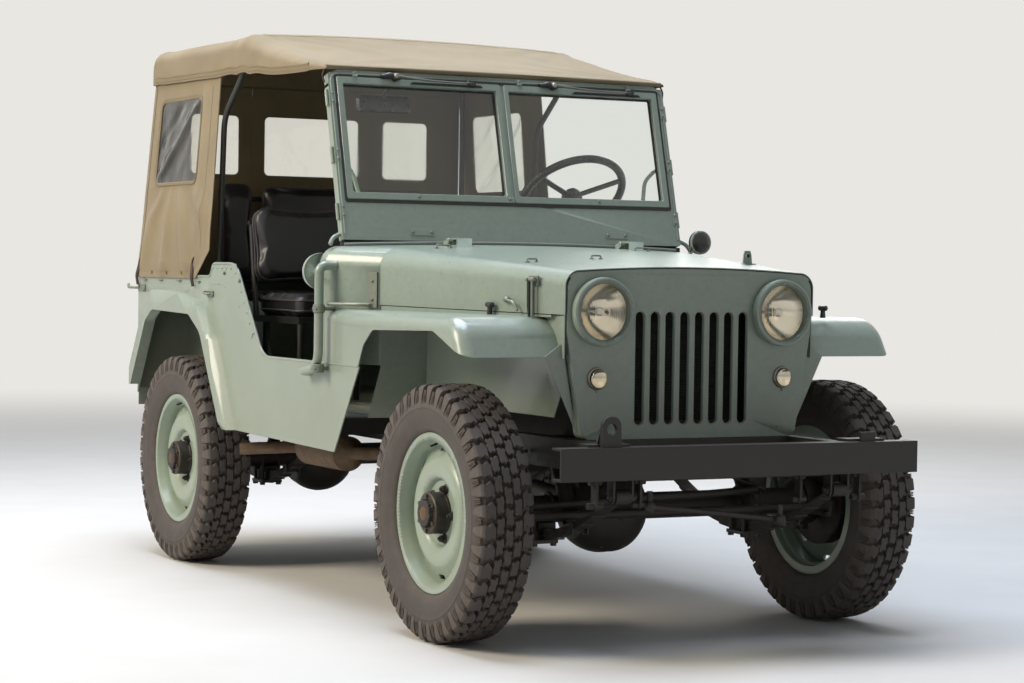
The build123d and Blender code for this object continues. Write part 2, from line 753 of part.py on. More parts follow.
def headlight_shells():
    parts = []
    for sign in (-1, 1):
        x = sign * HEADLIGHT_X
        shell = forward(x, GRILLE_Y - 24, HEADLIGHT_Z, BEZEL_R, 24 - FIT)
        shell += forward(x, GRILLE_Y - 2, HEADLIGHT_Z, HEADLIGHT_R + 3 - FIT, 60)
        shell -= forward(x, GRILLE_Y - 25, HEADLIGHT_Z, HEADLIGHT_R, 81)
        parts.append(shell)
    return parts


def headlight_lenses():
    parts = []
    dome = 150.0
    for sign in (-1, 1):
        x = sign * HEADLIGHT_X
        front = GRILLE_Y - 30
        ball = Pos(x, at(front + dome), HEADLIGHT_Z) * Sphere(dome)
        lens = ball & forward(x, front - 1, HEADLIGHT_Z, HEADLIGHT_R - FIT, 32)
        parts.append(lens)
    return parts


def marker_lamps():
    parts = []
    for sign in (-1, 1):
        x = sign * MARKER_X
        lamp = forward(x, GRILLE_Y - 14, MARKER_Z, MARKER_R, 14 - FIT)
        lamp += forward(x, GRILLE_Y - 20, MARKER_Z, MARKER_R - 6, 7)
        parts.append(lamp)
    return parts


def hood_rows():
    # Along, half width, low, high, shoulder radius, crown
    return [
        (GRILLE_Y, HOOD_FRONT_HALF, FENDER_TOP + 6, HOOD_FRONT_TOP, HOOD_SHOULDER, HOOD_CROWN),
        (FIREWALL_Y - 6, HOOD_REAR_HALF, FENDER_TOP + 15, HOOD_REAR_TOP, COWL_SHOULDER, HOOD_CROWN),
    ]


def hood():
    panel = skin(hood_rows(), SHEET, (True, True))
    for x in (-300, 300):
        barrel = across(x - 24, FIREWALL_Y, HINGE_Z, HINGE_R + 5, 48)
        leaf = box(x - 24, x + 24, FIREWALL_Y - 46, FIREWALL_Y, HINGE_Z + 4, HINGE_Z + 9)
        foot = box(x - 24, x + 24, FIREWALL_Y - 46, FIREWALL_Y - 36, HOOD_REAR_TOP - 3, HINGE_Z + 5)
        panel += barrel + leaf + foot
        panel -= across(x - 30, FIREWALL_Y, HINGE_Z, HINGE_R + RUN_FIT, 60)
    return panel


def fender():
    nose = FENDER_NOSE
    low = FENDER_NOSE_LOW
    rows = [
        (COWL_WIDE_Y - 5, FENDER_TOP, 0), (nose + FENDER_SLOPE, FENDER_TOP, FENDER_BEND), (nose, low, 0),
        (-22, 856, 70), (430, 846, 60), (500, 800, 40),
        (540, SILL_Z + FIT, 0), (COWL_WIDE_Y - 5, SILL_Z + FIT, 0),
    ]
    shell = side_plate(rows, APRON_X - SHEET, BODY_HALF)
    void = side_plate([
        (COWL_WIDE_Y + 5, FENDER_TOP - SHEET, 0),
        (nose + FENDER_SLOPE + 2, FENDER_TOP - SHEET, FENDER_BEND - SHEET),
        (nose + SHEET * 1.14, low, 0), (nose + SHEET * 1.14, low - 60, 0), (COWL_WIDE_Y + 5, low - 100, 0),
    ], APRON_X - SHEET - 1, BODY_HALF - SHEET)
    round_edges = shell.edges().filter_by_position(Axis.X, BODY_HALF - 0.01, BODY_HALF + 0.01)
    top_edges = [e for e in round_edges if edge_is_on_skin(e, nose, low)]
    shell = fillet(top_edges, FENDER_ROUND)
    void_edges = void.edges().filter_by_position(Axis.X, BODY_HALF - SHEET - 0.01, BODY_HALF - SHEET + 0.01)
    top_void = [e for e in void_edges if edge_is_on_skin(e, nose, low)]
    shell -= fillet(top_void, FENDER_ROUND - SHEET)
    # The cowl's flank takes the corner behind the hood
    flank = Polyline((0, at(FIREWALL_Y)), (HOOD_REAR_HALF + FIT, at(FIREWALL_Y)),
                     (BODY_HALF + FIT, at(COWL_WIDE_Y)), (BODY_HALF + FIT, at(COWL_WIDE_Y + 50)),
                     (0, at(COWL_WIDE_Y + 50)), close=True)
    shell -= Pos(0, 0, 600) * extrude(make_face(flank), amount=500)
    # Inner apron with the gusset beside the grille
    apron = side_plate([
        (nose, low, 0), (nose, GRILLE_LOW + 130, 0), (GRILLE_Y + 60, APRON_LOW, 0),
        (FIREWALL_Y, APRON_LOW, 0), (FIREWALL_Y, FENDER_TOP - SHEET, 0),
        (nose + FENDER_SLOPE + 2, FENDER_TOP - SHEET, 90),
    ], APRON_X - SHEET, APRON_X)
    gusset = front_plate([
        (APRON_X + 45, low + 2, 0), (GRILLE_FOOT_HALF + 9, GRILLE_LOW + 22, 0), (APRON_X - SHEET + 1, 830, 0),
    ], nose, nose + SHEET)
    return shell + apron + gusset


def edge_is_on_skin(edge, nose, low):
    # True for the edges along the fender's top and down its nose.
    middle = edge @ 0.5
    y = middle.Y - FRONT_AXLE_Y
    on_top = abs(middle.Z - FENDER_TOP) < 4 and y > nose
    on_nose = y < nose + 113 and middle.Z > low + 0.8 * (y - nose)
    return on_top or on_nose


def grab_tube():
    x = GRAB_X
    y = GRAB_Y
    foot_y = y + 130
    points = [(cowl_half(y) - 5, y, 1030), (x, y, 1030), (x, y, 722), (x, foot_y, 706),
              (BODY_HALF, foot_y, 706)]
    return tube(points, [22, 60, 22], GRAB_R) - cowl_block()


def mirrors():
    right = rod((-BODY_HALF + 12, 862, 1012), (-BODY_HALF + 12, 876, 1012), 55)
    right += rod((-GRAB_X, GRAB_Y + GRAB_R + 2, 1000), (-BODY_HALF, 866, 1010), 5)
    left_z = COWL_TOP + 32
    left = rod((BODY_HALF - 22, 742, left_z), (BODY_HALF - 22, 757, left_z), 38)
    left += rod((BODY_HALF - 80, 750, COWL_TOP - 20), (BODY_HALF - 32, 750, left_z - 14), 6) - cowl_block()
    return [right, left]


def tail_lamps():
    parts = []
    for sign in (-1, 1):
        parts.append(forward(sign * (BODY_HALF - 26), TAIL_Y, 690, 34, 44))
    return parts


# Canvas top

def canvas_rows():
    # Along, half width, low, high, shoulder radius, crown
    return [
        (HEADER_Y, TOP_HALF, HEADER_Z, HEADER_Z + 9, 8, 5),
        (HEADER_BACK, TOP_HALF, HEADER_Z, HEADER_Z + 22, 16, 8),
        (BOW_Y, TOP_HALF, EAVE_Z - 12, ROOF_TOP - ROOF_CROWN, ROOF_SHOULDER, ROOF_CROWN),
        (ROOF_BACK, TOP_HALF, EAVE_Z + 12, ROOF_TOP - ROOF_CROWN, ROOF_SHOULDER, ROOF_CROWN),
    ]


def canvas_roof():
    outer = loft([arch(*row) for row in canvas_rows()], ruled=True)
    rows = []
    for place, (y, half, low, high, shoulder, crown) in enumerate(canvas_rows()):
        if place > 0:
            rows.append((y, half - CANVAS_T, low - 20, high - CANVAS_T, shoulder - CANVAS_T, crown))
    rows[-1] = (ROOF_BACK - CANVAS_T,) + rows[-1][1:]
    return outer - loft([arch(*row) for row in rows], ruled=True)


def side_curtain():
    low = CURTAIN_LOW
    high = CURTAIN_HIGH
    back = ROOF_BACK - CANVAS_T - CURTAIN_T - 2 * FIT
    x0 = CURTAIN_HALF - CURTAIN_T
    front = WHEELBASE - 215
    pane_front = WHEELBASE - 52
    pane_back = WHEELBASE + 348
    sheet = side_plate([(front, high, 0), (back, high, 0), (back, low, 0), (front + 170, low, 0),
                        (front + 48, low + 92, 0)], x0, CURTAIN_HALF)
    window = side_plate([(pane_front, CURTAIN_PANE[0], 30), (pane_back, CURTAIN_PANE[0], 30),
                         (pane_back, CURTAIN_PANE[1], 30), (pane_front, CURTAIN_PANE[1], 30)],
                        x0 - 1, CURTAIN_HALF + 1)
    return sheet - window


def rear_curtain():
    half = CURTAIN_HALF
    y1 = ROOF_BACK - CANVAS_T - FIT
    y0 = y1 - CURTAIN_T
    sheet = front_plate([(-half, CURTAIN_LOW, 0), (half, CURTAIN_LOW, 0),
                         (half, CURTAIN_HIGH, 0), (-half, CURTAIN_HIGH, 0)], y0, y1)
    low, high = REAR_PANE
    for x0, x1 in ((-478, -290), (-191, 191), (290, 478)):
        sheet -= front_plate([(x0, low, 20), (x1, low, 20), (x1, high, 20), (x0, high, 20)], y0 - 1, y1 + 1)
    return sheet


def bow(y, foot_y):
    # The bow follows the inside of the canvas: a long crown arc between two shoulders.
    gap = CANVAS_T + BOW_FIT + BOW_R
    half = CURTAIN_HALF - CURTAIN_T - FIT - BOW_R
    chord = TOP_HALF - ROOF_SHOULDER
    crown_r = (chord ** 2 + ROOF_CROWN ** 2) / (2 * ROOF_CROWN) - gap
    slope = math.asin(chord * 0.97 / crown_r)
    apex = ROOF_TOP - gap + crown_r * (1 / math.cos(slope) - 1)
    shoulder = apex - half * math.tan(slope)
    foot = TUB_TOP + FIT
    # The leg stands nearly upright and leans to its crown only near the eaves.
    bend_y = foot_y + (y - foot_y) * 0.15
    bend_z = EAVE_Z - 150
    points = [(-half, foot_y, foot + 6.5), (-half, bend_y, bend_z), (-half, y, EAVE_Z - 36), (-half, y, shoulder),
              (0, y, apex), (half, y, shoulder), (half, y, EAVE_Z - 36), (half, bend_y, bend_z),
              (half, foot_y, foot + 6.5)]
    hoop = tube(points, [60, 30, 50, crown_r, 50, 30, 60], BOW_R)
    for sign in (-1, 1):
        hoop += Pos(sign * half, at(foot_y), foot + 5) * Cylinder(BOW_R + 0.2, 10)
    return hoop


def top_bows():
    return [bow(BOW_Y, BOW_FOOT), bow(REAR_BOW_Y, REAR_BOW_Y - 1)]


# Seats

def slab(x0, x1, y0, y1, z0, z1, radius):
    face = outline_face([(x0, at(y0), radius), (x1, at(y0), radius), (x1, at(y1), radius), (x0, at(y1), radius)])
    return Pos(0, 0, z0) * extrude(face, amount=z1 - z0)


def seat_cushions():
    cushion = slab(SEAT_IN, SEAT_OUT, 1265, 1655, CUSHION_LOW, CUSHION_HIGH, 50)
    return [cushion, mirror(cushion, about=Plane.YZ)]


# Seat back: along at its foot, lean in degrees, height, thickness
FRONT_BACK = (1680.0, 10.0, 285.0, 65.0)
REAR_BACK = (WHEELBASE + 313, 5.0, 385.0, 55.0)
BACK_FOOT = CUSHION_HIGH + 15


def seat_back(x0, x1, row, radius):
    y, lean, height, thick = row
    tilt = math.radians(lean)
    plane = Plane(origin=(0, at(y), BACK_FOOT), x_dir=(1, 0, 0), z_dir=(0, -math.cos(tilt), math.sin(tilt)))
    face = outline_face([(x0, 0, radius), (x1, 0, radius), (x1, height, radius + 15), (x0, height, radius + 15)])
    return plane * extrude(face, amount=thick)


def seat_backs():
    back = seat_back(SEAT_IN, SEAT_OUT, FRONT_BACK, 45)
    return [back, mirror(back, about=Plane.YZ)]


def rear_seat_back():
    return seat_back(-430, 430, REAR_BACK, 40)


def stand(x0, x1, y0, y1, back, head):
    # Legs, the square rails under a cushion and the hoop that its back leans on.
    low = FLOOR_Z
    high = CUSHION_LOW - FIT
    rail = 22
    hoop_r = 10
    tilt = math.radians(back[1])
    off = (hoop_r + FIT) / math.cos(tilt)
    foot_z = high - rail / 2
    foot_y = back[0] + (foot_z - BACK_FOOT) * math.tan(tilt) + off
    head_y = back[0] + (head - BACK_FOOT) * math.tan(tilt) + off
    frame = box(x0, x1, y0, y0 + rail, high - rail, high) + box(x0, x1, y1 - rail, y1, high - rail, high)
    for x in (x0, x1 - rail):
        middle = x + rail / 2
        frame += box(x, x + rail, y0, foot_y + hoop_r, high - rail, high)
        for y in (y0 + rail / 2, y1 - rail / 2):
            frame += rod((middle, y, low), (middle, y, high - 5), 10)
        frame += rod((middle, foot_y, foot_z), (middle, head_y, head), hoop_r - 0.5)
    frame += rod((x0 + rail / 2 - 11, head_y, head), (x1 - rail / 2 + 11, head_y, head), hoop_r)
    return frame


def seat_frame(sign):
    frame = stand(SEAT_IN + 20, SEAT_OUT - 20, 1280, 1600, FRONT_BACK, BACK_FOOT + 220)
    return frame if sign > 0 else mirror(frame, about=Plane.YZ)


def rear_seat_frame():
    return stand(-390, 390, WHEELBASE - 77, WHEELBASE + 268, REAR_BACK, BACK_FOOT + 320)


def rear_seat_cushion():
    return slab(-430, 430, WHEELBASE - 92, WHEELBASE + 278, CUSHION_LOW, CUSHION_HIGH, 40)


def floor_controls():
    # Gear lever and two transfer levers, then three pedals
    parts = []
    for x, y, z in ((0, 1090, FLOOR_Z + 409), (-70, 1000, FLOOR_Z + 224), (-110, 1000, FLOOR_Z + 224)):
        lever = rod((x, 960, FLOOR_Z + 4), (x, y, z), 7) + rod((x, 960, FLOOR_Z), (x, 960, FLOOR_Z + 8), 12)
        lever += Pos(x, at(y), z) * Sphere(18)
        parts.append(lever)
    for x in (230, 350, 430):
        pedal = rod((x, 760, FLOOR_Z + 2), (x, 800, FLOOR_Z + 124), 6)
        pedal += box(x - 28, x + 28, 797, 805, FLOOR_Z + 114, FLOOR_Z + 174)
        parts.append(pedal)
    return parts


# Spare wheel

def on_tail(part):
    y = TAIL_Y + SPARE_GAP + TYRE_W / 2
    return Pos(SPARE_X, at(y), SPARE_Z) * Rot(Z=90) * part


def spare_carrier():
    face = SPARE_GAP + TYRE_W / 2 + DISC_FACE
    boss = forward(SPARE_X, TAIL_Y, SPARE_Z, 70, face - FIT)
    boss += box(SPARE_X - 110, SPARE_X + 110, TAIL_Y + 3, TAIL_Y + 12, SPARE_Z - 110, TUB_TOP - 32)
    boss += forward(SPARE_X, TAIL_Y, SPARE_Z, SPINDLE_R, face + 20)
    return boss - tail_panel()


def nodes():
    table = {
        "chassis_frame": chassis_frame(),
        "front_bumper": front_bumper(),
        "tow_lugs": tow_lugs(),
        "front_axle": front_axle(),
        "rear_axle": rear_axle(),
        "leaf_springs": leaf_springs(),
        "shock_absorbers": shock_absorbers(),
        "tie_rod": tie_rod(),
        "engine_block": engine_block(),
        "gearbox": gearbox(),
        "propshafts": propshafts(),
        "exhaust": exhaust(),
        "fuel_tank": fuel_tank(),
        "floor_pan": floor_pan(),
        "tail_panel": tail_panel(),
        "cowl": cowl(),
        "dashboard": dashboard(),
        "windshield_frame": windshield_frame(),
        "windshield_glass": windshield_glass(),
        "grille": grille(),
        "radiator": radiator(),
        "headlight_shells": headlight_shells(),
        "headlight_lenses": headlight_lenses(),
        "marker_lamps": marker_lamps(),
        "hood": hood(),
        "grab_tubes": pair(grab_tube()),
        "mirrors": mirrors(),
        "tail_lamps": tail_lamps(),
        "canvas_roof": canvas_roof(),
        "side_curtains": pair(side_curtain()),
        "rear_curtain": rear_curtain(),
        "top_bows": top_bows(),
        "seat_cushions": seat_cushions(),
        "seat_backs": seat_backs(),
        "seat_frames": [seat_frame(-1), seat_frame(1), rear_seat_frame()],
        "rear_seat_cushion": rear_seat_cushion(),
        "rear_seat_back": rear_seat_back(),
        "steering_column": steering_column(),
        "steering_wheel": steering_wheel(),
        "floor_controls": floor_controls(),
        "spare_carrier": spare_carrier(),
        "spare_wheel": on_tail(wheel_disc()),
        "spare_tyre": on_tail(tyre()),
        "knuckle_right": knuckle(-1),
        "knuckle_left": knuckle(1),
    }
    handed = {"side_panel": side_panel(), "wheelhouse": wheelhouse(), "front_fender": fender()}
    for name, part in handed.items():
        table[name + "_left"] = part
        table[name + "_right"] = mirror(part, about=Plane.YZ)
    for corner, (y, sign) in WHEEL_PLACES.items():
        table["wheel_" + corner] = on_axle(wheel_disc(), y, sign)
        table["tyre_" + corner] = on_axle(tyre(), y, sign)
    return table


os.makedirs("parts", exist_ok=True)
lift = Pos(0, 0, TYRE_R - AXLE_Z)
for node, shape in nodes().items():
    pieces = shape if isinstance(shape, list) else [shape]
    solids = [solid for piece in pieces for solid in (lift * piece).solids()]
    export_step(Compound(children=solids), "parts/" + node + ".step")
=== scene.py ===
"""Looks of a light 4x4 car with a canvas top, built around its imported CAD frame."""
import sys
import logging
import math
from collections.abc import Callable, Sequence
from dataclasses import dataclass, field
from enum import Enum

import bmesh
import bpy
from mathutils import Matrix, Vector, noise
from mathutils.bvhtree import BVHTree


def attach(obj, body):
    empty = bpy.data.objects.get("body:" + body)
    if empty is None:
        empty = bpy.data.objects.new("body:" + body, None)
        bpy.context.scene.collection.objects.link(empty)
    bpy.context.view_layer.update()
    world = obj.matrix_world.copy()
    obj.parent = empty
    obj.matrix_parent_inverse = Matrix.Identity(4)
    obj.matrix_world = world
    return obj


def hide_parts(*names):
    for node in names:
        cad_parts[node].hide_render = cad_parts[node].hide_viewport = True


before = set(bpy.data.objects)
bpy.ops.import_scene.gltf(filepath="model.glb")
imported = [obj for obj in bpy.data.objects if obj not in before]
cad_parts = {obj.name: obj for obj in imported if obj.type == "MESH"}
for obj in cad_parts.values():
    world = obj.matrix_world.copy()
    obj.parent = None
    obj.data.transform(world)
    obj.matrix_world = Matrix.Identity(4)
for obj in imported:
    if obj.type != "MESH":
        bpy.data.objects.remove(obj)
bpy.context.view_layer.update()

LOG = logging.getLogger("car")

# Place of the front axle along the car, and the car's main sizes, in millimetres
AXLE_Y = -1092.0
WHEELBASE = 2032.0
TYRE_R = 356.0
HALF_TRACK = 620.0
BODY_HALF = 660.0
TAIL_Y = 2520.0
GRILLE_Y = -240.0
SPARE_PLACE = (-220.0, 2627.5, 900.0)

# Metres in a millimetre, and the step from a form's millimetres to its place on the car
MM = 0.001
TO_CAR = Matrix.Translation((0, AXLE_Y / 1000, 0)) @ Matrix.Scale(MM, 4)
# Right and left, or front and back
SIDES = (-1, 1)

Place = tuple[float, float, float]
Pair = tuple[float, float]
Span = tuple[float, float, float, float]
Point = Place | Vector
Socket = bpy.types.NodeSocket
Tree = bpy.types.NodeTree
Piece = bpy.types.Object

# Directions on the car
ORIGIN: Place = (0, 0, 0)
ACROSS: Place = (1, 0, 0)
ALONG: Place = (0, 1, 0)
UP: Place = (0, 0, 1)


class Body(Enum):
    """The car's moving bodies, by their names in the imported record."""

    CAR = "car_body"
    HOOD = "hood_lid"
    KNUCKLE_RIGHT = "right_knuckle"
    KNUCKLE_LEFT = "left_knuckle"
    WHEEL_FRONT_RIGHT = "front_right_wheel"
    WHEEL_FRONT_LEFT = "front_left_wheel"
    WHEEL_REAR_RIGHT = "rear_right_wheel"
    WHEEL_REAR_LEFT = "rear_left_wheel"
    HANDWHEEL = "steering_handwheel"
    TRACK_ROD = "track_rod"


class Grain(Enum):
    """Kinds of fine relief on a surface."""

    PEEL = "peel"
    WEAVE = "weave"
    HIDE = "hide"
    CAST = "cast"
    DRAWN = "drawn"


def linear(text: str) -> tuple[float, float, float, float]:
    """Turns an sRGB hex colour into linear RGBA.

    Args:
        text: the colour, such as "#8C9780".

    Returns:
        Red, green, blue and an alpha of one.
    """
    parts = [int(text[i:i + 2], 16) / 255 for i in (1, 3, 5)]
    r, g, b = (c / 12.92 if c <= 0.04045 else ((c + 0.055) / 1.055) ** 2.4 for c in parts)
    return (r, g, b, 1.0)


def add(tree: Tree, kind: str, props: dict | None = None, values: dict | None = None,
        links: dict | None = None) -> bpy.types.Node:
    """Adds one node with its settings, socket values and incoming links.

    Args:
        tree: the node tree.
        kind: the node's type name.
        props: node properties by name.
        values: socket values by name or place.
        links: output sockets by the name or place of the input that they feed.

    Returns:
        The new node.
    """
    node = tree.nodes.new(kind)
    for key, value in (props or {}).items():
        setattr(node, key, value)
    for key, value in (values or {}).items():
        node.inputs[key].default_value = value
    for key, source in (links or {}).items():
        tree.links.new(source, node.inputs[key])
    return node


def ranged(tree: Tree, source: Socket, low: float, high: float, to_low: float = 0.0,
           to_high: float = 1.0) -> Socket:
    """Maps one range of a value onto another.

    Args:
        tree: the node tree.
        source: the value.
        low: where its range starts.
        high: where it ends.
        to_low: what its start becomes.
        to_high: what its end becomes.

    Returns:
        The mapped value.
    """
    return add(tree, "ShaderNodeMapRange", values={"From Min": low, "From Max": high, "To Min": to_low,
                                                   "To Max": to_high}, links={"Value": source}).outputs[0]


def product(tree: Tree, first: Socket, second: Socket) -> Socket:
    """Multiplies two values."""
    return add(tree, "ShaderNodeMath", {"operation": "MULTIPLY"}, links={0: first, 1: second}).outputs[0]


def bare_tree(owner: bpy.types.Material | bpy.types.World) -> Tree:
    """Turns on an owner's nodes and clears them.

    Args:
        owner: a material or the world.

    Returns:
        Its empty tree.
    """
    owner.use_nodes = True
    owner.node_tree.nodes.clear()
    return owner.node_tree


def in_scene(name: str, data: bpy.types.ID) -> Piece:
    """Puts a new object into the scene.

    Args:
        name: its name.
        data: its mesh, lamp or camera.

    Returns:
        The object.
    """
    thing = bpy.data.objects.new(name, data)
    bpy.context.scene.collection.objects.link(thing)
    return thing


# Finishes

DUST_ROUGHNESS = 0.92
EDGE_RADIUS_M = 0.0018


@dataclass(frozen=True)
class Finish:
    """An opaque surface: its colours, gloss, relief, dust and worn edges."""

    name: str
    colour: str
    patch: str
    patches: float
    roughness: float
    grain: Grain
    pitch_mm: float
    depth_mm: float
    metallic: float = 0.0
    coat: float = 0.0
    sheen: float = 0.0
    worn: str = "#55524C"
    wear: float = 0.0
    dust: float = 0.0
    dusty: str = "#8E7E66"
    patch_mm: float = 260.0
    follow_dust: bool = False

    def material(self) -> bpy.types.Material:
        """Makes the finish's material, once.

        Returns:
            The material.
        """
        made = bpy.data.materials.get(self.name)
        if made is not None:
            return made
        made = bpy.data.materials.new(self.name)
        tree = bare_tree(made)
        shader = add(tree, "ShaderNodeBsdfPrincipled", values={
            "Metallic": self.metallic, "Coat Weight": self.coat, "Coat Roughness": 0.12,
            "Sheen Weight": self.sheen, "Sheen Roughness": 0.5})
        add(tree, "ShaderNodeOutputMaterial", links={"Surface": shader.outputs["BSDF"]})
        here = add(tree, "ShaderNodeTexCoord").outputs["Object"]
        broad = add(tree, "ShaderNodeTexNoise", values={"Scale": 1000 / self.patch_mm, "Detail": 5.0,
                                                        "Roughness": 0.6}, links={"Vector": here})
        fine = add(tree, "ShaderNodeTexNoise", values={"Scale": 55.0, "Detail": 6.0, "Roughness": 0.7},
                   links={"Vector": here})
        share = ranged(tree, broad.outputs["Fac"], 0.38, 0.68, 0.0, self.patches)
        colour = add(tree, "ShaderNodeMix", {"data_type": "RGBA"},
                     {6: linear(self.colour), 7: linear(self.patch)}, {0: share})
        mottle = ranged(tree, fine.outputs["Fac"], 0.3, 0.7, 0.93, 1.06)
        shade = add(tree, "ShaderNodeMix", {"data_type": "RGBA", "blend_type": "MULTIPLY"}, {0: 1.0},
                    {6: colour.outputs[2], 7: mottle}).outputs[2]
        rough = ranged(tree, fine.outputs["Fac"], 0.3, 0.7, self.roughness * 0.85, min(1.0, self.roughness * 1.2))
        if self.dust > 0:
            mask = self._dust_mask(tree, here, fine.outputs["Fac"])
            shade = add(tree, "ShaderNodeMix", {"data_type": "RGBA"}, {7: linear(self.dusty)},
                        {0: mask, 6: shade}).outputs[2]
            rough = add(tree, "ShaderNodeMix", {"data_type": "FLOAT"}, {3: DUST_ROUGHNESS},
                        {0: mask, 2: rough}).outputs[0]
        soft = add(tree, "ShaderNodeBevel", {"samples": 3}, {"Radius": EDGE_RADIUS_M})
        if self.wear > 0:
            mask = self._wear_mask(tree, soft.outputs["Normal"], fine.outputs["Fac"])
            shade = add(tree, "ShaderNodeMix", {"data_type": "RGBA"}, {7: linear(self.worn)},
                        {0: mask, 6: shade}).outputs[2]
        bump = add(tree, "ShaderNodeBump", values={"Strength": 1.0, "Distance": self.depth_mm / 1000},
                   links={"Height": self._relief(tree, here), "Normal": soft.outputs["Normal"]})
        tree.links.new(shade, shader.inputs["Base Color"])
        tree.links.new(rough, shader.inputs["Roughness"])
        tree.links.new(bump.outputs["Normal"], shader.inputs["Normal"])
        return made

    def _dust_mask(self, tree: Tree, here: Socket,
                   fine: Socket) -> Socket:
        """Where road dust lies: low down, and in a tread's grooves.

        Args:
            tree: the material's tree.
            here: object coordinates.
            fine: the fine noise.

        Returns:
            A factor from nought to one.
        """
        if self.follow_dust:
            level = add(tree, "ShaderNodeAttribute", {"attribute_name": "dust"}).outputs["Fac"]
        else:
            split = add(tree, "ShaderNodeSeparateXYZ", links={0: here})
            level = ranged(tree, split.outputs["Z"], 0.95, 0.2, 0.12)
        both = product(tree, level, ranged(tree, fine, 0.3, 0.72, 0.25, 1.5))
        return add(tree, "ShaderNodeMath", {"operation": "MULTIPLY", "use_clamp": True}, {1: self.dust},
                   {0: both}).outputs[0]

    def _wear_mask(self, tree: Tree, soft: Socket,
                   fine: Socket) -> Socket:
        """Where the edges are rubbed through.

        Args:
            tree: the material's tree.
            soft: the rounded normal.
            fine: the fine noise.

        Returns:
            A factor from nought to one.
        """
        flat = add(tree, "ShaderNodeNewGeometry").outputs["Normal"]
        dot = add(tree, "ShaderNodeVectorMath", {"operation": "DOT_PRODUCT"}, links={0: soft, 1: flat})
        both = product(tree, ranged(tree, dot.outputs["Value"], 0.985, 0.86), ranged(tree, fine, 0.5, 0.66))
        return add(tree, "ShaderNodeMath", {"operation": "MULTIPLY", "use_clamp": True}, {1: self.wear},
                   {0: both}).outputs[0]

    def _relief(self, tree: Tree, here: Socket) -> Socket:
        """The height pattern of the surface's grain.

        Args:
            tree: the material's tree.
            here: object coordinates.

        Returns:
            The height, from nought to one.
        """
        per_metre = 1000 / self.pitch_mm
        if self.grain is Grain.WEAVE:
            # A wave's period is a tenth of pi over its scale
            flat = add(tree, "ShaderNodeUVMap", {"uv_map": "cloth"}).outputs["UV"]
            scale = math.pi / 10 * per_metre
            threads = [add(tree, "ShaderNodeTexWave", {"bands_direction": side},
                           {"Scale": scale, "Distortion": 0.6, "Detail": 1.0, "Detail Scale": 3.0},
                           {"Vector": flat}).outputs["Fac"] for side in ("X", "Y")]
            return product(tree, *threads)
        if self.grain is Grain.HIDE:
            cell = add(tree, "ShaderNodeTexVoronoi", {"feature": "SMOOTH_F1"}, {"Scale": per_metre},
                       {"Vector": here})
            return cell.outputs["Distance"]
        if self.grain is Grain.DRAWN:
            stretch = add(tree, "ShaderNodeMapping", values={"Scale": (0.05, 1.0, 1.0)}, links={"Vector": here})
            here = stretch.outputs["Vector"]
        detail = 3.0 if self.grain is Grain.PEEL else 8.0
        return add(tree, "ShaderNodeTexNoise", values={"Scale": per_metre, "Detail": detail},
                   links={"Vector": here}).outputs["Fac"]


@dataclass(frozen=True)
class Pane:
    """A clear surface: glass or clear vinyl."""

    name: str
    colour: str
    roughness: float
    ior: float
    ripple_mm: float
    ripple_depth_mm: float
    flutes: bool = False

    def material(self) -> bpy.types.Material:
        """Makes the pane's material, once.

        Returns:
            The material.
        """
        made = bpy.data.materials.get(self.name)
        if made is not None:
            return made
        made = bpy.data.materials.new(self.name)
        tree = bare_tree(made)
        shader = add(tree, "ShaderNodeBsdfPrincipled", values={
            "Base Color": linear(self.colour), "Transmission Weight": 1.0, "IOR": self.ior})
        add(tree, "ShaderNodeOutputMaterial", links={"Surface": shader.outputs["BSDF"]})
        here = add(tree, "ShaderNodeTexCoord").outputs["Object"]
        wavy = add(tree, "ShaderNodeTexNoise", values={"Scale": 1000 / self.ripple_mm, "Detail": 2.0},
                   links={"Vector": here})
        height = wavy.outputs["Fac"]
        if self.flutes:
            height = add(tree, "ShaderNodeTexWave", values={"Scale": 1000 / self.ripple_mm * math.pi / 10},
                         links={"Vector": here}).outputs["Fac"]
        film = ranged(tree, wavy.outputs["Fac"], 0.35, 0.75, self.roughness, self.roughness + 0.06)
        bump = add(tree, "ShaderNodeBump", values={"Strength": 1.0, "Distance": self.ripple_depth_mm / 1000},
                   links={"Height": height})
        tree.links.new(film, shader.inputs["Roughness"])
        tree.links.new(bump.outputs["Normal"], shader.inputs["Normal"])
        return made


AnyFinish = Finish | Pane

# Sage alkyd enamel, sprayed on pressed steel: a soft gloss with a slight orange peel and dusty sills
SAGE_ENAMEL = Finish("sage_alkyd_enamel_on_steel", "#869385", "#7B887B", 0.5, 0.30, Grain.PEEL, 3.0, 0.05,
                     coat=0.35, worn="#5C5F52", wear=0.35, dust=0.32, dusty="#9A9078")
# The same enamel on the wheels, a little lighter and chalked
WHEEL_ENAMEL = Finish("sage_enamel_on_wheel_steel", "#90A18F", "#819180", 0.5, 0.32, Grain.PEEL, 3.0, 0.06,
                      coat=0.3, worn="#6A5B48", wear=0.5, dust=0.22, dusty="#9A8B70")
# The enamel inside the tub and arches, never polished: flatter and dusty; its darker colour is painted shade
SHADED_INNER_ENAMEL = Finish("flat_enamel_inside_tub_painted_shade", "#5F6A5A", "#50594B", 0.6, 0.55, Grain.PEEL, 4.0, 0.1,
                      dust=0.6, dusty="#7D7260")
# Black brush paint on channel steel: satin with scuffs
CHASSIS_BLACK = Finish("black_paint_on_channel_steel", "#131211", "#1A1817", 0.6, 0.42, Grain.PEEL, 5.0, 0.12,
                       worn="#5B564E", wear=0.5, dust=0.10, dusty="#4C4338")
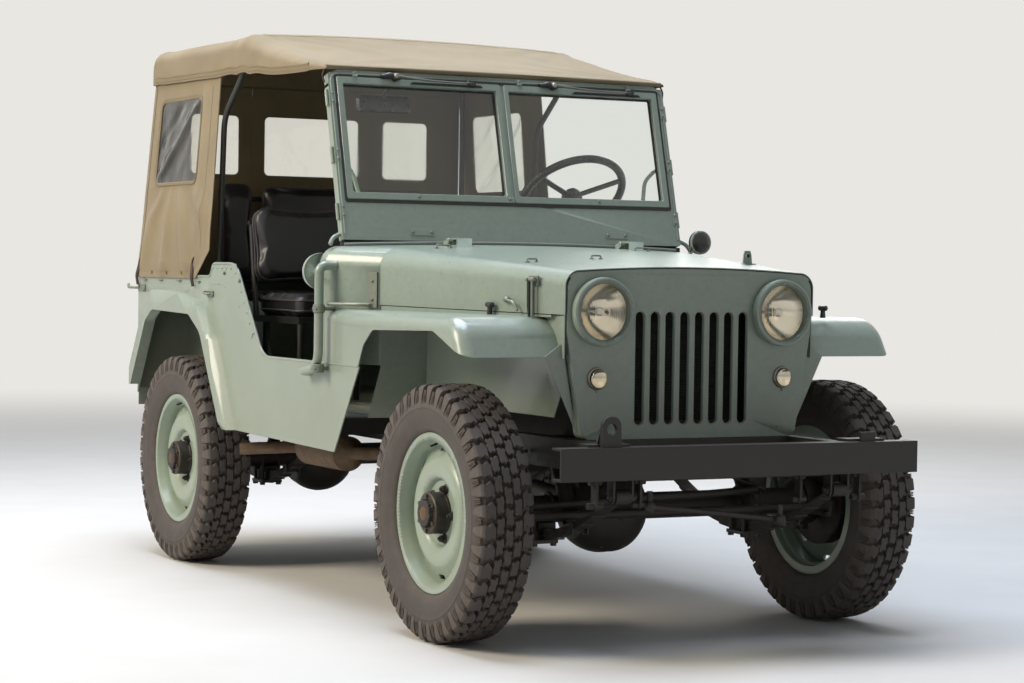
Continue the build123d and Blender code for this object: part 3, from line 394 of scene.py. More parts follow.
# Cast and forged running gear, black with oil and road dirt
OILY_IRON = Finish("oily_cast_iron", "#141210", "#1F1A16", 0.8, 0.55, Grain.CAST, 4.0, 0.35,
                   dust=0.15, dusty="#4A3F33", patch_mm=70.0)
# Zinc plated steel of bolts, pins and clips, dulled
ZINC_STEEL = Finish("dull_zinc_plated_steel", "#8D8B84", "#6E6A60", 0.6, 0.42, Grain.CAST, 2.0, 0.04, metallic=0.9,
                    dust=0.2)
# Painted fittings rubbed back to steel
RUBBED_STEEL = Finish("rubbed_painted_steel", "#6F7668", "#8A8B80", 0.7, 0.40, Grain.CAST, 2.5, 0.06, metallic=0.35,
                      worn="#8E8A80", wear=0.8)
# Rusted exhaust tube
RUSTY_TUBE = Finish("rusted_mild_steel_tube", "#5A4232", "#7A6654", 0.8, 0.75, Grain.CAST, 3.0, 0.25, metallic=0.2,
                    dust=0.4, patch_mm=40.0)
# Vulcanised tyre rubber, greyed, with clay dust in its grooves
TYRE_RUBBER = Finish("vulcanised_tyre_rubber", "#3A3634", "#47413D", 0.7, 0.72, Grain.CAST, 6.0, 0.4,
                     dust=0.5, dusty="#75685C", follow_dust=True, patch_mm=60.0)
# Extruded black rubber seals
SEAL_RUBBER = Finish("extruded_seal_rubber", "#1B1B1B", "#262626", 0.5, 0.6, Grain.CAST, 4.0, 0.05)
GREY_BEAD = Finish("greyed_rubber_bead", "#7B7F76", "#6C7068", 0.5, 0.6, Grain.CAST, 4.0, 0.05)
# Hub castings, black over dark oily brown
HUB_IRON = Finish("oil_browned_hub_casting", "#1E1714", "#33261D", 0.8, 0.42, Grain.CAST, 3.0, 0.2, metallic=0.2,
                  worn="#5E4E3C", wear=0.6, dust=0.12, patch_mm=30.0)
# Grey-green brushing paint of the bows
BOW_PAINT = Finish("brushed_grey_green_paint", "#2D2F2A", "#242622", 0.6, 0.5, Grain.PEEL, 4.0, 0.08,
                   worn="#75736A", wear=0.4)
# Oiled leather straps, darkened
STRAP_LEATHER = Finish("oiled_strap_leather", "#2E241B", "#403223", 0.7, 0.6, Grain.HIDE, 2.4, 0.12)
# Cotton duck canvas: a coarse plain weave, faded in patches; threads drawn 3 mm apart so that they show
CANVAS = Finish("khaki_cotton_duck", "#87785B", "#75674A", 0.8, 0.92, Grain.WEAVE, 3.0, 0.35, sheen=0.12,
                patch_mm=320.0)
CANVAS_INSIDE = Finish("khaki_duck_binding", "#7E7053", "#6C5F45", 0.7, 0.92, Grain.WEAVE, 3.0, 0.3, sheen=0.1)
THREAD = Finish("waxed_cotton_thread", "#83754F", "#74664A", 0.5, 0.85, Grain.CAST, 1.0, 0.05)
# Black seat vinyl with a pressed hide grain
SEAT_VINYL = Finish("black_grained_seat_vinyl", "#17171A", "#1F1F22", 0.6, 0.38, Grain.HIDE, 3.2, 0.14,
                    worn="#3A3733", wear=0.2, dust=0.06, dusty="#4A463F")
VINYL_WELT = Finish("worn_vinyl_welt", "#3E3A36", "#242220", 0.8, 0.5, Grain.HIDE, 2.5, 0.06)
# Moulded black phenolic of knobs and the steering wheel
PHENOLIC = Finish("moulded_black_phenolic", "#19191A", "#222223", 0.5, 0.28, Grain.CAST, 6.0, 0.03)
# Chromed and silvered lamp parts
CHROME = Finish("dulled_chrome_plate", "#B9B8B4", "#9E9C97", 0.5, 0.18, Grain.CAST, 6.0, 0.02, metallic=1.0)
# Silvered reflector bowls; their warm patches are a painted warm reflection
SILVERED_WITH_PAINTED_REFLECTION = Finish("silvered_reflector_bowl", "#D9D3C6", "#C9BBA0", 0.6, 0.10, Grain.CAST, 9.0, 0.03, metallic=1.0)
RED_LENS = Finish("red_moulded_lens", "#5B0F0D", "#4A0B0A", 0.4, 0.2, Grain.DRAWN, 3.0, 0.1, coat=0.6)
# Matt black of the radiator core and fins; in the hood bracket's eye it is painted shade filling the hole
BLACK_CORE_AND_PAINTED_HOLE_SHADE = Finish("matt_black_core_and_painted_hole_shade", "#0E0E0E", "#151412", 0.5, 0.8, Grain.CAST, 4.0, 0.2)
BRASS = Finish("browned_brass", "#6E5434", "#4A3722", 0.7, 0.5, Grain.CAST, 2.0, 0.1, metallic=0.8)
# Soda-lime float glass, pressed lamp glass and clear vinyl
FLOAT_GLASS = Pane("soda_lime_float_glass", "#F1F6F3", 0.0, 1.45, 400.0, 0.02)
LAMP_GLASS = Pane("pressed_lamp_glass", "#FBFAF4", 0.0, 1.45, 6.5, 0.25, flutes=True)
DOME_GLASS = Pane("frosted_marker_glass", "#F6F3E8", 0.06, 1.45, 9.0, 0.1)
CLEAR_VINYL = Pane("creased_clear_vinyl", "#E9E8E2", 0.0, 1.35, 90.0, 3.0)


# Geometry in millimetres: across, back from the front axle, up

def rounded(points: Sequence[Place], radius: float, steps: int = 5) -> list[Vector]:
    """Rounds the corners of an open path.

    Args:
        points: the path's corners.
        radius: how far back along each leg a corner's curve starts.
        steps: points in each curve.

    Returns:
        The rounded path.
    """
    corners = [Vector(p) for p in points]
    path = [corners[0]]
    # No curve takes up more than 0.45 of a leg
    for before, here, after in zip(corners, corners[1:], corners[2:]):
        reach = min(radius, (here - before).length * 0.45, (after - here).length * 0.45)
        start = here + (before - here).normalized() * reach
        end = here + (after - here).normalized() * reach
        for i in range(steps + 1):
            t = i / steps
            path.append(start * (1 - t) ** 2 + here * 2 * t * (1 - t) + end * t ** 2)
    path.append(corners[-1])
    return path


def oblong(cx: float, cy: float, width: float, height: float, radius: float, steps: int = 6) -> list[Pair]:
    """The outline of a rectangle with round corners, going anticlockwise.

    Args:
        cx: middle, across.
        cy: middle, up.
        width: full width.
        height: full height.
        radius: corner radius.
        steps: steps in each corner.

    Returns:
        The outline's points.
    """
    outline = []
    for place, (sx, sy) in enumerate(((1, -1), (1, 1), (-1, 1), (-1, -1))):
        mx = cx + sx * (width / 2 - radius)
        my = cy + sy * (height / 2 - radius)
        for i in range(steps + 1):
            a = math.radians(-90 + place * 90 + 90 * i / steps)
            outline.append((mx + radius * math.cos(a), my + radius * math.sin(a)))
    return outline


def circle(cx: float, cy: float, radius: float, steps: int = 24) -> list[Pair]:
    """Points round a circle, anticlockwise."""
    return [(cx + radius * math.cos(math.tau * i / steps), cy + radius * math.sin(math.tau * i / steps))
            for i in range(steps)]


class Form:
    """A mesh in the making, in millimetres across, back from the front axle and up."""

    def __init__(self) -> None:
        """Starts an empty form."""
        self.bm = bmesh.new()
        self.dust = self.bm.verts.layers.float.new("dust")

    def skin(self, rings: Sequence[Sequence[Vector]], around: bool = True, along: bool = False,
             caps: bool = True) -> "Form":
        """Joins rows of points with quads.

        Args:
            rings: rows with as many points each.
            around: whether each row is closed.
            along: whether the last row joins the first.
            caps: whether the first and last rows are filled.

        Returns:
            The form.
        """
        rows = [[self.bm.verts.new(p) for p in ring] for ring in rings]
        count = len(rows[0])
        pairs = list(zip(rows, rows[1:]))
        if along:
            pairs.append((rows[-1], rows[0]))
        for low, high in pairs:
            for i in range(count if around else count - 1):
                j = (i + 1) % count
                self.bm.faces.new((low[i], low[j], high[j], high[i]))
        if caps and around and not along:
            self.bm.faces.new(rows[0][::-1])
            self.bm.faces.new(rows[-1])
        return self

    def box(self, low: Place, high: Place) -> "Form":
        """Adds a plain block between two corners."""
        (x0, y0, z0), (x1, y1, z1) = low, high
        return self.skin([[Vector((x, y, z)) for x, y in ((x0, y0), (x1, y0), (x1, y1), (x0, y1))] for z in (z0, z1)])

    def tube(self, path: Sequence[Place], radius: float | Sequence[float], sides: int = 12,
             loop: bool = False, flat: float = 1.0) -> "Form":
        """Sweeps a circle along a path.

        Args:
            path: points on the tube's middle line.
            radius: one radius, or one for each point.
            sides: points round the tube.
            loop: whether the path is closed.
            flat: how thick the section is across, as a share of its radius.

        Returns:
            The form.
        """
        points = [Vector(p) for p in path]
        count = len(points)
        radii = list(radius) if isinstance(radius, (list, tuple)) else [radius] * count
        side = None
        rings = []
        for i, here in enumerate(points):
            before = points[i - 1] if i > 0 or loop else here
            after = points[(i + 1) % count] if i < count - 1 or loop else here
            ahead = (after - before).normalized()
            if side is None:
                side = ahead.orthogonal()
            side = (side - ahead * side.dot(ahead)).normalized()
            other = ahead.cross(side)
            rings.append([here + (side * math.cos(math.tau * k / sides) * flat
                                  + other * math.sin(math.tau * k / sides)) * radii[i] for k in range(sides)])
        return self.skin(rings, along=loop)

    def rod(self, corners: Sequence[Point], bend: float, radius: float | Sequence[float], sides: int = 12,
            steps: int = 5, flat: float = 1.0) -> "Form":
        """Sweeps a circle along a path with rounded corners.

        Args:
            corners: the path's corners.
            bend: how far back along each leg a corner's curve starts.
            radius: one radius, or one for each point of the rounded path.
            sides: points round the rod.
            steps: points in each curve.
            flat: how thick the section is across, as a share of its radius.

        Returns:
            The form.
        """
        return self.tube(rounded(corners, bend, steps), radius, sides, flat=flat)

    def spin(self, rows: Sequence[Pair], origin: Place, axis: Place, steps: int = 48,
             closed: bool = False) -> "Form":
        """Turns a profile about an axis.

        Args:
            rows: radius and place along the axis of each point.
            origin: where the axis starts.
            axis: its direction.
            steps: points round the shape.
            closed: whether the profile's last point joins its first.

        Returns:
            The form.
        """
        start = Vector(origin)
        ahead = Vector(axis).normalized()
        side = ahead.orthogonal().normalized()
        other = ahead.cross(side)
        rings = []
        for radius, place in rows:
            rings.append([start + ahead * place + (side * math.cos(math.tau * k / steps)
                                                   + other * math.sin(math.tau * k / steps)) * max(radius, 0.001)
                          for k in range(steps)])
        return self.skin(rings, along=closed, caps=False)

    def prism(self, outline: Sequence[Pair], origin: Place, across: Place, up: Place, depth: float,
              taper: float = 1.0) -> "Form":
        """Gives a flat outline a thickness.

        Args:
            outline: points as across and up.
            origin: where the outline's own origin lies.
            across: direction of the first number.
            up: direction of the second.
            depth: thickness along across x up.
            taper: size of the far face against the near one.

        Returns:
            The form.
        """
        start, u, v = Vector(origin), Vector(across).normalized(), Vector(up).normalized()
        mid = (sum(p[0] for p in outline) / len(outline), sum(p[1] for p in outline) / len(outline))
        near = [start + u * a + v * b for a, b in outline]
        far = [start + u * (mid[0] + (a - mid[0]) * taper) + v * (mid[1] + (b - mid[1]) * taper)
               + u.cross(v) * depth for a, b in outline]
        return self.skin([near, far])

    def ball(self, centre: Place, radii: Place, steps: int = 16) -> "Form":
        """Adds a ball.

        Args:
            centre: its middle.
            radii: one radius for each direction.
            steps: points round it.

        Returns:
            The form.
        """
        turns = [math.pi * i / (steps // 2) for i in range(steps // 2 + 1)]
        rows = [(max(math.sin(turn), 0.0), -math.cos(turn)) for turn in turns]
        before = set(self.bm.verts)
        self.spin(rows, ORIGIN, UP, steps)
        for vert in set(self.bm.verts) - before:
            vert.co = Vector(centre) + Vector((vert.co.x * radii[0], vert.co.y * radii[1], vert.co.z * radii[2]))
        return self

    def move(self, matrix: Matrix) -> "Form":
        """Moves everything made so far."""
        self.bm.transform(matrix)
        return self

    def both_sides(self) -> "Form":
        """Adds the mirror image across the car's middle.

        Returns:
            The form.
        """
        copy = bmesh.ops.duplicate(self.bm, geom=list(self.bm.verts) + list(self.bm.edges) + list(self.bm.faces))
        for item in copy["geom"]:
            if isinstance(item, bmesh.types.BMVert):
                item.co.x = -item.co.x
        return self

    def mesh(self, name: str) -> bpy.types.Mesh:
        """Closes the form, still in millimetres and in its own place.

        Args:
            name: the mesh's name.

        Returns:
            The mesh.
        """
        bmesh.ops.remove_doubles(self.bm, verts=self.bm.verts, dist=0.002)
        bmesh.ops.recalc_face_normals(self.bm, faces=self.bm.faces)
        made = bpy.data.meshes.new(name)
        self.bm.to_mesh(made)
        self.bm.free()
        return made

    def piece(self, name: str, finish: AnyFinish, body: Body = Body.CAR, angle: float = 32.0, wall: float = 0.0,
              smooth: int = 0) -> Piece:
        """Makes the form a finished piece that rides on a body.

        Args:
            name: the piece's name.
            finish: what it is made of.
            body: what it rides on.
            angle: edges that turn by more stay sharp.
            wall: thickness given to an open skin, in millimetres.
            smooth: subdivision levels.

        Returns:
            The piece.
        """
        made = self.mesh(name)
        made.transform(TO_CAR)
        thing = in_scene(name, made)
        if wall:
            solid = thing.modifiers.new("wall", "SOLIDIFY")
            solid.thickness = wall / 1000
            solid.offset = -1.0
        if smooth:
            rounder = thing.modifiers.new("rounder", "SUBSURF")
            rounder.levels = rounder.render_levels = smooth
        return dress(thing, finish, body, angle)


def settle(thing: Piece) -> None:
    """Makes a piece's modifiers part of its mesh.

    Args:
        thing: the piece.
    """
    if not thing.modifiers:
        return
    ready = thing.evaluated_get(bpy.context.evaluated_depsgraph_get())
    made = bpy.data.meshes.new_from_object(ready)
    thing.modifiers.clear()
    thing.data = made


def dress(thing: Piece, finish: AnyFinish, body: Body = Body.CAR,
          angle: float = 32.0) -> Piece:
    """Settles a piece, gives it its finish and sets it on its body.

    Args:
        thing: the piece.
        finish: what it is made of.
        body: what it rides on.
        angle: edges that turn by more stay sharp.

    Returns:
        The piece.
    """
    settle(thing)
    thing.data.materials.clear()
    thing.data.materials.append(finish.material())
    thing.data.shade_smooth()
    thing.data.set_sharp_from_angle(angle=math.radians(angle))
    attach(thing, body.value)
    LOG.info("%s: %d faces on %s", thing.name, len(thing.data.polygons), body.value)
    return thing


def refine(node: str, finish: AnyFinish, body: Body = Body.CAR, angle: float = 28.0) -> Piece:
    """Replaces a CAD node by a merged, smoothly shaded copy of itself.

    Args:
        node: the CAD node.
        finish: what it is made of.
        body: what it rides on.
        angle: edges that turn by more stay sharp.

    Returns:
        The new piece.
    """
    bm = bmesh.new()
    bm.from_mesh(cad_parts[node].data)
    bmesh.ops.remove_doubles(bm, verts=bm.verts, dist=0.00002)
    made = bpy.data.meshes.new(node + "_pressed")
    bm.to_mesh(made)
    bm.free()
    thing = dress(in_scene(node + "_pressed", made), finish, body, angle)
    even = thing.modifiers.new("even", "WEIGHTED_NORMAL")
    even.keep_sharp = True
    settle(thing)
    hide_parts(node)
    return thing


def coat_node(node: str, finish: AnyFinish) -> None:
    """Gives a CAD node that stays its finish.

    Args:
        node: the CAD node.
        finish: what it is made of.
    """
    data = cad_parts[node].data
    data.materials.clear()
    data.materials.append(finish.material())


# Repeated small shapes, by Geometry Nodes

class Pattern(Enum):
    """How a small shape is repeated."""

    ON_POINTS = "set_on_points"
    ROUND_AXLE = "turned_round_axle"
    IN_STEPS = "set_in_steps"
    ALONG_LINE = "sewn_along_line"


class Repeater:
    """Geometry Nodes trees that repeat one small shape and give it its finish."""

    def __init__(self) -> None:
        """Builds one tree for each pattern."""
        self.trees = {pattern: self._tree(pattern) for pattern in Pattern}

    def _tree(self, pattern: Pattern) -> Tree:
        """Builds a pattern's tree.

        Args:
            pattern: how the shape is repeated.

        Returns:
            The tree.
        """
        tree = bpy.data.node_groups.new(pattern.value, "GeometryNodeTree")
        for name, kind in (("Points", "Geometry"), ("Shape", "Object"), ("Finish", "Material"), ("Count", "Int"),
                           ("Step", "Vector"), ("Spacing", "Float"), ("Jitter", "Float"), ("Seed", "Int")):
            tree.interface.new_socket(name=name, in_out="INPUT", socket_type="NodeSocket" + kind)
        tree.interface.new_socket(name="Geometry", in_out="OUTPUT", socket_type="NodeSocketGeometry")
        given = add(tree, "NodeGroupInput").outputs
        shape = add(tree, "GeometryNodeObjectInfo", links={"Object": given["Shape"]}).outputs["Geometry"]
        least = add(tree, "ShaderNodeMath", {"operation": "SUBTRACT"}, {0: 1.0}, {1: given["Jitter"]})
        most = add(tree, "ShaderNodeMath", {"operation": "ADD"}, {0: 1.0}, {1: given["Jitter"]})
        size = add(tree, "FunctionNodeRandomValue", {"data_type": "FLOAT"},
                   links={2: least.outputs[0], 3: most.outputs[0], "Seed": given["Seed"]}).outputs[1]
        links = {"Instance": shape, "Scale": size}
        if pattern is Pattern.ON_POINTS:
            turn = add(tree, "GeometryNodeInputNamedAttribute", {"data_type": "FLOAT_VECTOR"}, {"Name": "turn"})
            links.update({"Points": given["Points"], "Rotation": turn.outputs["Attribute"]})
        elif pattern is Pattern.ROUND_AXLE:
            full = add(tree, "ShaderNodeMath", {"operation": "DIVIDE"}, {0: math.tau}, {1: given["Count"]})
            index = add(tree, "GeometryNodeInputIndex").outputs[0]
            angle = add(tree, "ShaderNodeMath", {"operation": "MULTIPLY"}, links={0: index, 1: full.outputs[0]})
            turn = add(tree, "ShaderNodeCombineXYZ", links={"X": angle.outputs[0]})
            points = add(tree, "GeometryNodePoints", links={"Count": given["Count"]})
            links.update({"Points": points.outputs[0], "Rotation": turn.outputs[0]})
        elif pattern is Pattern.IN_STEPS:
            line = add(tree, "GeometryNodeMeshLine", {"mode": "OFFSET"},
                       links={"Count": given["Count"], "Offset": given["Step"]})
            links.update({"Points": line.outputs[0]})
        else:
            line = add(tree, "GeometryNodeMeshToCurve", links={0: given["Points"]})
            dots = add(tree, "GeometryNodeCurveToPoints", {"mode": "LENGTH"},
                       links={"Curve": line.outputs[0], "Length": given["Spacing"]})
            links.update({"Points": dots.outputs["Points"], "Rotation": dots.outputs["Rotation"]})
        placed = add(tree, "GeometryNodeInstanceOnPoints", links=links)
        real = add(tree, "GeometryNodeRealizeInstances", links={0: placed.outputs[0]})
        painted = add(tree, "GeometryNodeSetMaterial",
                      links={"Geometry": real.outputs[0], "Material": given["Finish"]})
        add(tree, "NodeGroupOutput", links={0: painted.outputs[0]})
        return tree

    def heads(self, name: str, shape: Form, finish: AnyFinish, points: Sequence[tuple[Place, Place]],
              body: Body = Body.CAR) -> None:
        """Sets a screw, rivet or other small shape on places.

        Args:
            name: the piece's name.
            shape: the small shape, standing on Z.
            finish: what it is made of.
            points: places and the directions that it faces.
            body: what the piece rides on.
        """
        self.make(name, Pattern.ON_POINTS, shape, finish, body, points)

    def make(self, name: str, pattern: Pattern, shape: Form, finish: AnyFinish, body: Body | None,
             points: Sequence[tuple[Place, Place]] = (), line: Sequence[Sequence[Place]] = (), count: int = 1,
             step: Place = ORIGIN, spacing: float = 10.0, jitter: float = 0.0, angle: float = 32.0,
             seed: int = 7) -> Piece:
        """Repeats a shape and makes the result one piece.

        Args:
            name: the piece's name.
            pattern: how the shape is repeated.
            shape: the small shape about its own origin, in millimetres.
            finish: what it is made of.
            body: what the piece rides on, or None where the caller places it.
            points: places and the directions that the shape's Z axis takes there.
            line: open lines to sew along.
            count: how many, in steps or round the axle.
            step: from one to the next, in millimetres.
            spacing: from one stitch to the next, in millimetres.
            jitter: how much sizes differ.
            angle: edges that turn by more stay sharp.
            seed: of the random sizes.

        Returns:
            The piece.
        """
        small = shape.mesh(name + "_shape")
        small.transform(Matrix.Scale(MM, 4))
        small.shade_smooth()
        small.set_sharp_from_angle(angle=math.radians(angle))
        model = in_scene(name + "_shape", small)
        base = bpy.data.meshes.new(name)
        shift = Vector((0, AXLE_Y, 0))
        if pattern is Pattern.ALONG_LINE:
            verts, edges = [], []
            for run in line:
                first = len(verts)
                verts += [(Vector(p) + shift) / 1000 for p in run]
                edges += [(i, i + 1) for i in range(first, len(verts) - 1)]
            base.from_pydata(verts, edges, [])
        else:
            base.from_pydata([(Vector(p) + shift) / 1000 for p, _ in points] or [ORIGIN], [], [])
        turn = base.attributes.new("turn", "FLOAT_VECTOR", "POINT")
        for place, (_, facing) in enumerate(points):
            turn.data[place].vector = Vector(facing).to_track_quat("Z", "Y").to_euler()
        thing = in_scene(name, base)
        maker = thing.modifiers.new("maker", "NODES")
        maker.node_group = self.trees[pattern]
        values = {"Shape": model, "Finish": finish.material(), "Count": count, "Step": Vector(step) / 1000,
                  "Spacing": spacing / 1000, "Jitter": jitter, "Seed": seed}
        for socket in self.trees[pattern].interface.items_tree:
            if socket.in_out == "INPUT" and socket.name in values:
                maker[socket.identifier] = values[socket.name]
        settle(thing)
        bpy.data.objects.remove(model)
        if body is not None:
            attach(thing, body.value)
            LOG.info("%s: %d faces on %s", name, len(thing.data.polygons), body.value)
        return thing


def bolt_head(radius: float, height: float) -> Form:
    """A hexagon head with its washer and shank end, standing on Z.

    Args:
        radius: to the head's corners.
        height: of the whole, about.

    Returns:
        The shape.
    """
    form = Form().prism(circle(0, 0, radius * 1.35, 16), (0, 0, -0.5), ACROSS, ALONG, height * 0.22)
    form.prism(circle(0, 0, radius, 6), (0, 0, height * 0.2), ACROSS, ALONG, height * 0.62, 0.97)
    return form.prism(circle(0, 0, radius * 0.5, 10), (0, 0, height * 0.8), ACROSS, ALONG, height * 0.3)


def round_head(radius: float, height: float) -> Form:
    """A domed rivet or screw head, standing on Z.

    Args:
        radius: of its rim.
        height: of its dome.

    Returns:
        The shape.
    """
    rows = [(radius, -0.4), (radius * 0.96, height * 0.45), (radius * 0.7, height * 0.85), (0.0, height)]
    return Form().spin(rows, ORIGIN, UP, 12)


def arch_point(half: float, high: float, shoulder: float, crown: float, x: float) -> float:
    """Height of a crowned panel with round shoulders.

    Args:
        half: half width.
        high: height where the crown starts.
        shoulder: shoulder radius.
        crown: rise of the middle over that height.
        x: place across.

    Returns:
        The height at x.
    """
    flat = half - shoulder
    if abs(x) <= flat:
        return high + crown * (1 - (x / flat) ** 2)
    into = min((abs(x) - flat) / shoulder, 1.0)
    return high - shoulder * (1 - math.sqrt(max(1 - into * into, 0.0)))


def mix(a: float, b: float, share: float) -> float:
    """Returns the number a share of the way from a to b."""
    return a + (b - a) * share


def clamped(value: float, low: float = 0.0, high: float = 1.0) -> float:
    """Returns the value, held between two limits."""
    return min(high, max(low, value))


def around_pane(pane: Span, grow: float, radius: float) -> list[Pair]:
    """The outline of a window, or of a border round it.

    Args:
        pane: the window's low and high, across and up.
        grow: how far outside the window.
        radius: corner radius.

    Returns:
        The outline's points.
    """
    a0, a1, b0, b1 = pane
    return oblong((a0 + a1) / 2, (b0 + b1) / 2, a1 - a0 + 2 * grow, b1 - b0 + 2 * grow, radius, 8)


def divided(outline: Sequence[Pair], gap: float) -> list[Pair]:
    """Adds points along the sides of a closed outline.

    Args:
        outline: its corners.
        gap: about how far apart the points lie.

    Returns:
        The finer outline.
    """
    fine = []
    for p, q in zip(outline, outline[1:] + outline[:1]):
        steps = max(1, int(math.dist(p, q) / gap))
        fine += [(mix(p[0], q[0], k / steps), mix(p[1], q[1], k / steps)) for k in range(steps)]
    return fine


@dataclass
class Studio:
    """Camera, lights and floor."""

    place: Place = (-3.5912, -7.1263, 1.0272)
    yaw: float = 0.4816
    pitch: float = -0.0295
    roll: float = 0.0146
    lens_mm: float = 86.18
    backdrop: str = "#E9E7E2"
    floor_colour: str = "#C9C5BD"
    floor_cloud: str = "#D3D0C9"
    floor_reach: float = 90.0
    sky_colour: str = "#D3E2F5"
    sky_strength: float = 0.27

    def build(self) -> None:
        """Sets the camera, the lamps, the world and the floor."""
        self._camera()
        self._lamp("key_softbox", (-6.4, 0.5, 4.9), (0.0, 0.0, 0.7), 3.2, 520.0, "#FFF3E0")
        self._lamp("sky_softbox", (-0.4, 0.9, 6.4), (0.0, 0.4, 0.9), 4.2, 580.0, "#DCE8FF")
        self._lamp("front_softbox", (1.6, -7.5, 3.4), (0.0, -1.0, 0.8), 3.0, 8.0, "#FFE6CC")
        self._lamp("back_softbox", (4.5, 4.5, 4.5), (0.0, 0.5, 0.9), 3.2, 110.0, "#FFFFFF")
        self._world()
        self._floor()

    def _camera(self) -> None:
        """Sets the camera where the picture was taken from."""
        ahead = Vector((math.sin(self.yaw) * math.cos(self.pitch), math.cos(self.yaw) * math.cos(self.pitch),
                        math.sin(self.pitch)))
        level = Vector((math.cos(self.yaw), -math.sin(self.yaw), 0.0))
        upright = level.cross(ahead)
        right = level * math.cos(self.roll) + upright * math.sin(self.roll)
        up = upright * math.cos(self.roll) - level * math.sin(self.roll)
        data = bpy.data.cameras.new("front_right_view")
        data.lens = self.lens_mm
        data.sensor_width = 36.0
        data.clip_end = 300.0
        view = in_scene("front_right_view", data)
        turn = Matrix((right, up, -ahead)).transposed().to_4x4()
        view.matrix_world = Matrix.Translation(self.place) @ turn
        bpy.context.scene.camera = view

    def _lamp(self, name: str, place: Place, target: Place, size: float, power: float, colour: str) -> None:
        """Adds a soft area lamp.

        Args:
            name: the lamp's name.
            place: where it hangs.
            target: what it faces.
            size: side of its square.
            power: watts.
            colour: sRGB colour.
        """
        data = bpy.data.lights.new(name, "AREA")
        data.size = size
        data.energy = power
        data.color = linear(colour)[:3]
        lamp = in_scene(name, data)
        lamp.location = place
        lamp.rotation_euler = (Vector(target) - Vector(place)).to_track_quat("-Z", "Y").to_euler()

    def _world(self) -> None:
        """Makes a pale backdrop for the camera and a plain even light for the rest."""
        world = bpy.data.worlds.new("pale_studio")
        bpy.context.scene.world = world
        tree = bare_tree(world)
        seen = self._seen(tree)
        light = add(tree, "ShaderNodeBackground", values={"Color": linear(self.sky_colour),
                                                              "Strength": self.sky_strength})
        behind = add(tree, "ShaderNodeBackground", values={"Color": linear(self.backdrop), "Strength": 1.0})
        both = add(tree, "ShaderNodeMixShader", links={0: seen, 1: light.outputs[0], 2: behind.outputs[0]})
        add(tree, "ShaderNodeOutputWorld", links={"Surface": both.outputs[0]})

    def _seen(self, tree: Tree) -> Socket:
        """Picks the rays from the camera, from gloss and through glass.

        Args:
            tree: the material's or the world's tree.

        Returns:
            One for those rays, nought for the rest.
        """
        path = add(tree, "ShaderNodeLightPath").outputs
        first = add(tree, "ShaderNodeMath", {"operation": "MAXIMUM"},
                    links={0: path["Is Camera Ray"], 1: path["Is Glossy Ray"]})
        return add(tree, "ShaderNodeMath", {"operation": "MAXIMUM"},
                   links={0: first.outputs[0], 1: path["Is Transmission Ray"]}).outputs[0]

    def _floor(self) -> None:
        """Lays a wide pale floor that runs out into the backdrop."""
        made = bpy.data.materials.new("pale_studio_floor")
        tree = bare_tree(made)
        here = add(tree, "ShaderNodeTexCoord").outputs["Object"]
        cloud = add(tree, "ShaderNodeTexNoise", values={"Scale": 3.0, "Detail": 6.0}, links={"Vector": here})
        tone = add(tree, "ShaderNodeMix", {"data_type": "RGBA"},
                   {6: linear(self.floor_colour), 7: linear(self.floor_cloud)}, {0: cloud.outputs["Fac"]})
        shader = add(tree, "ShaderNodeBsdfPrincipled", values={"Roughness": 0.9},
                     links={"Base Color": tone.outputs[2]})
        away = add(tree, "ShaderNodeVectorMath", {"operation": "LENGTH"}, links={0: here})
        fade = add(tree, "ShaderNodeMapRange", {"interpolation_type": "SMOOTHSTEP"},
                   {"From Min": 4.5, "From Max": 13.0}, {"Value": away.outputs["Value"]})
        share = product(tree, fade.outputs[0], self._seen(tree))
        glow = add(tree, "ShaderNodeEmission", values={"Color": linear(self.backdrop), "Strength": 1.0})
        both = add(tree, "ShaderNodeMixShader",
                   links={0: share, 1: shader.outputs[0], 2: glow.outputs[0]})
        add(tree, "ShaderNodeOutputMaterial", links={"Surface": both.outputs[0]})
        mesh = bpy.data.meshes.new("studio_floor")
        far = self.floor_reach
        mesh.from_pydata([(-far, -far, 0), (far, -far, 0), (far, far, 0), (-far, far, 0)], [], [(0, 1, 2, 3)])
        mesh.materials.append(made)
        floor = in_scene("studio_floor", mesh)


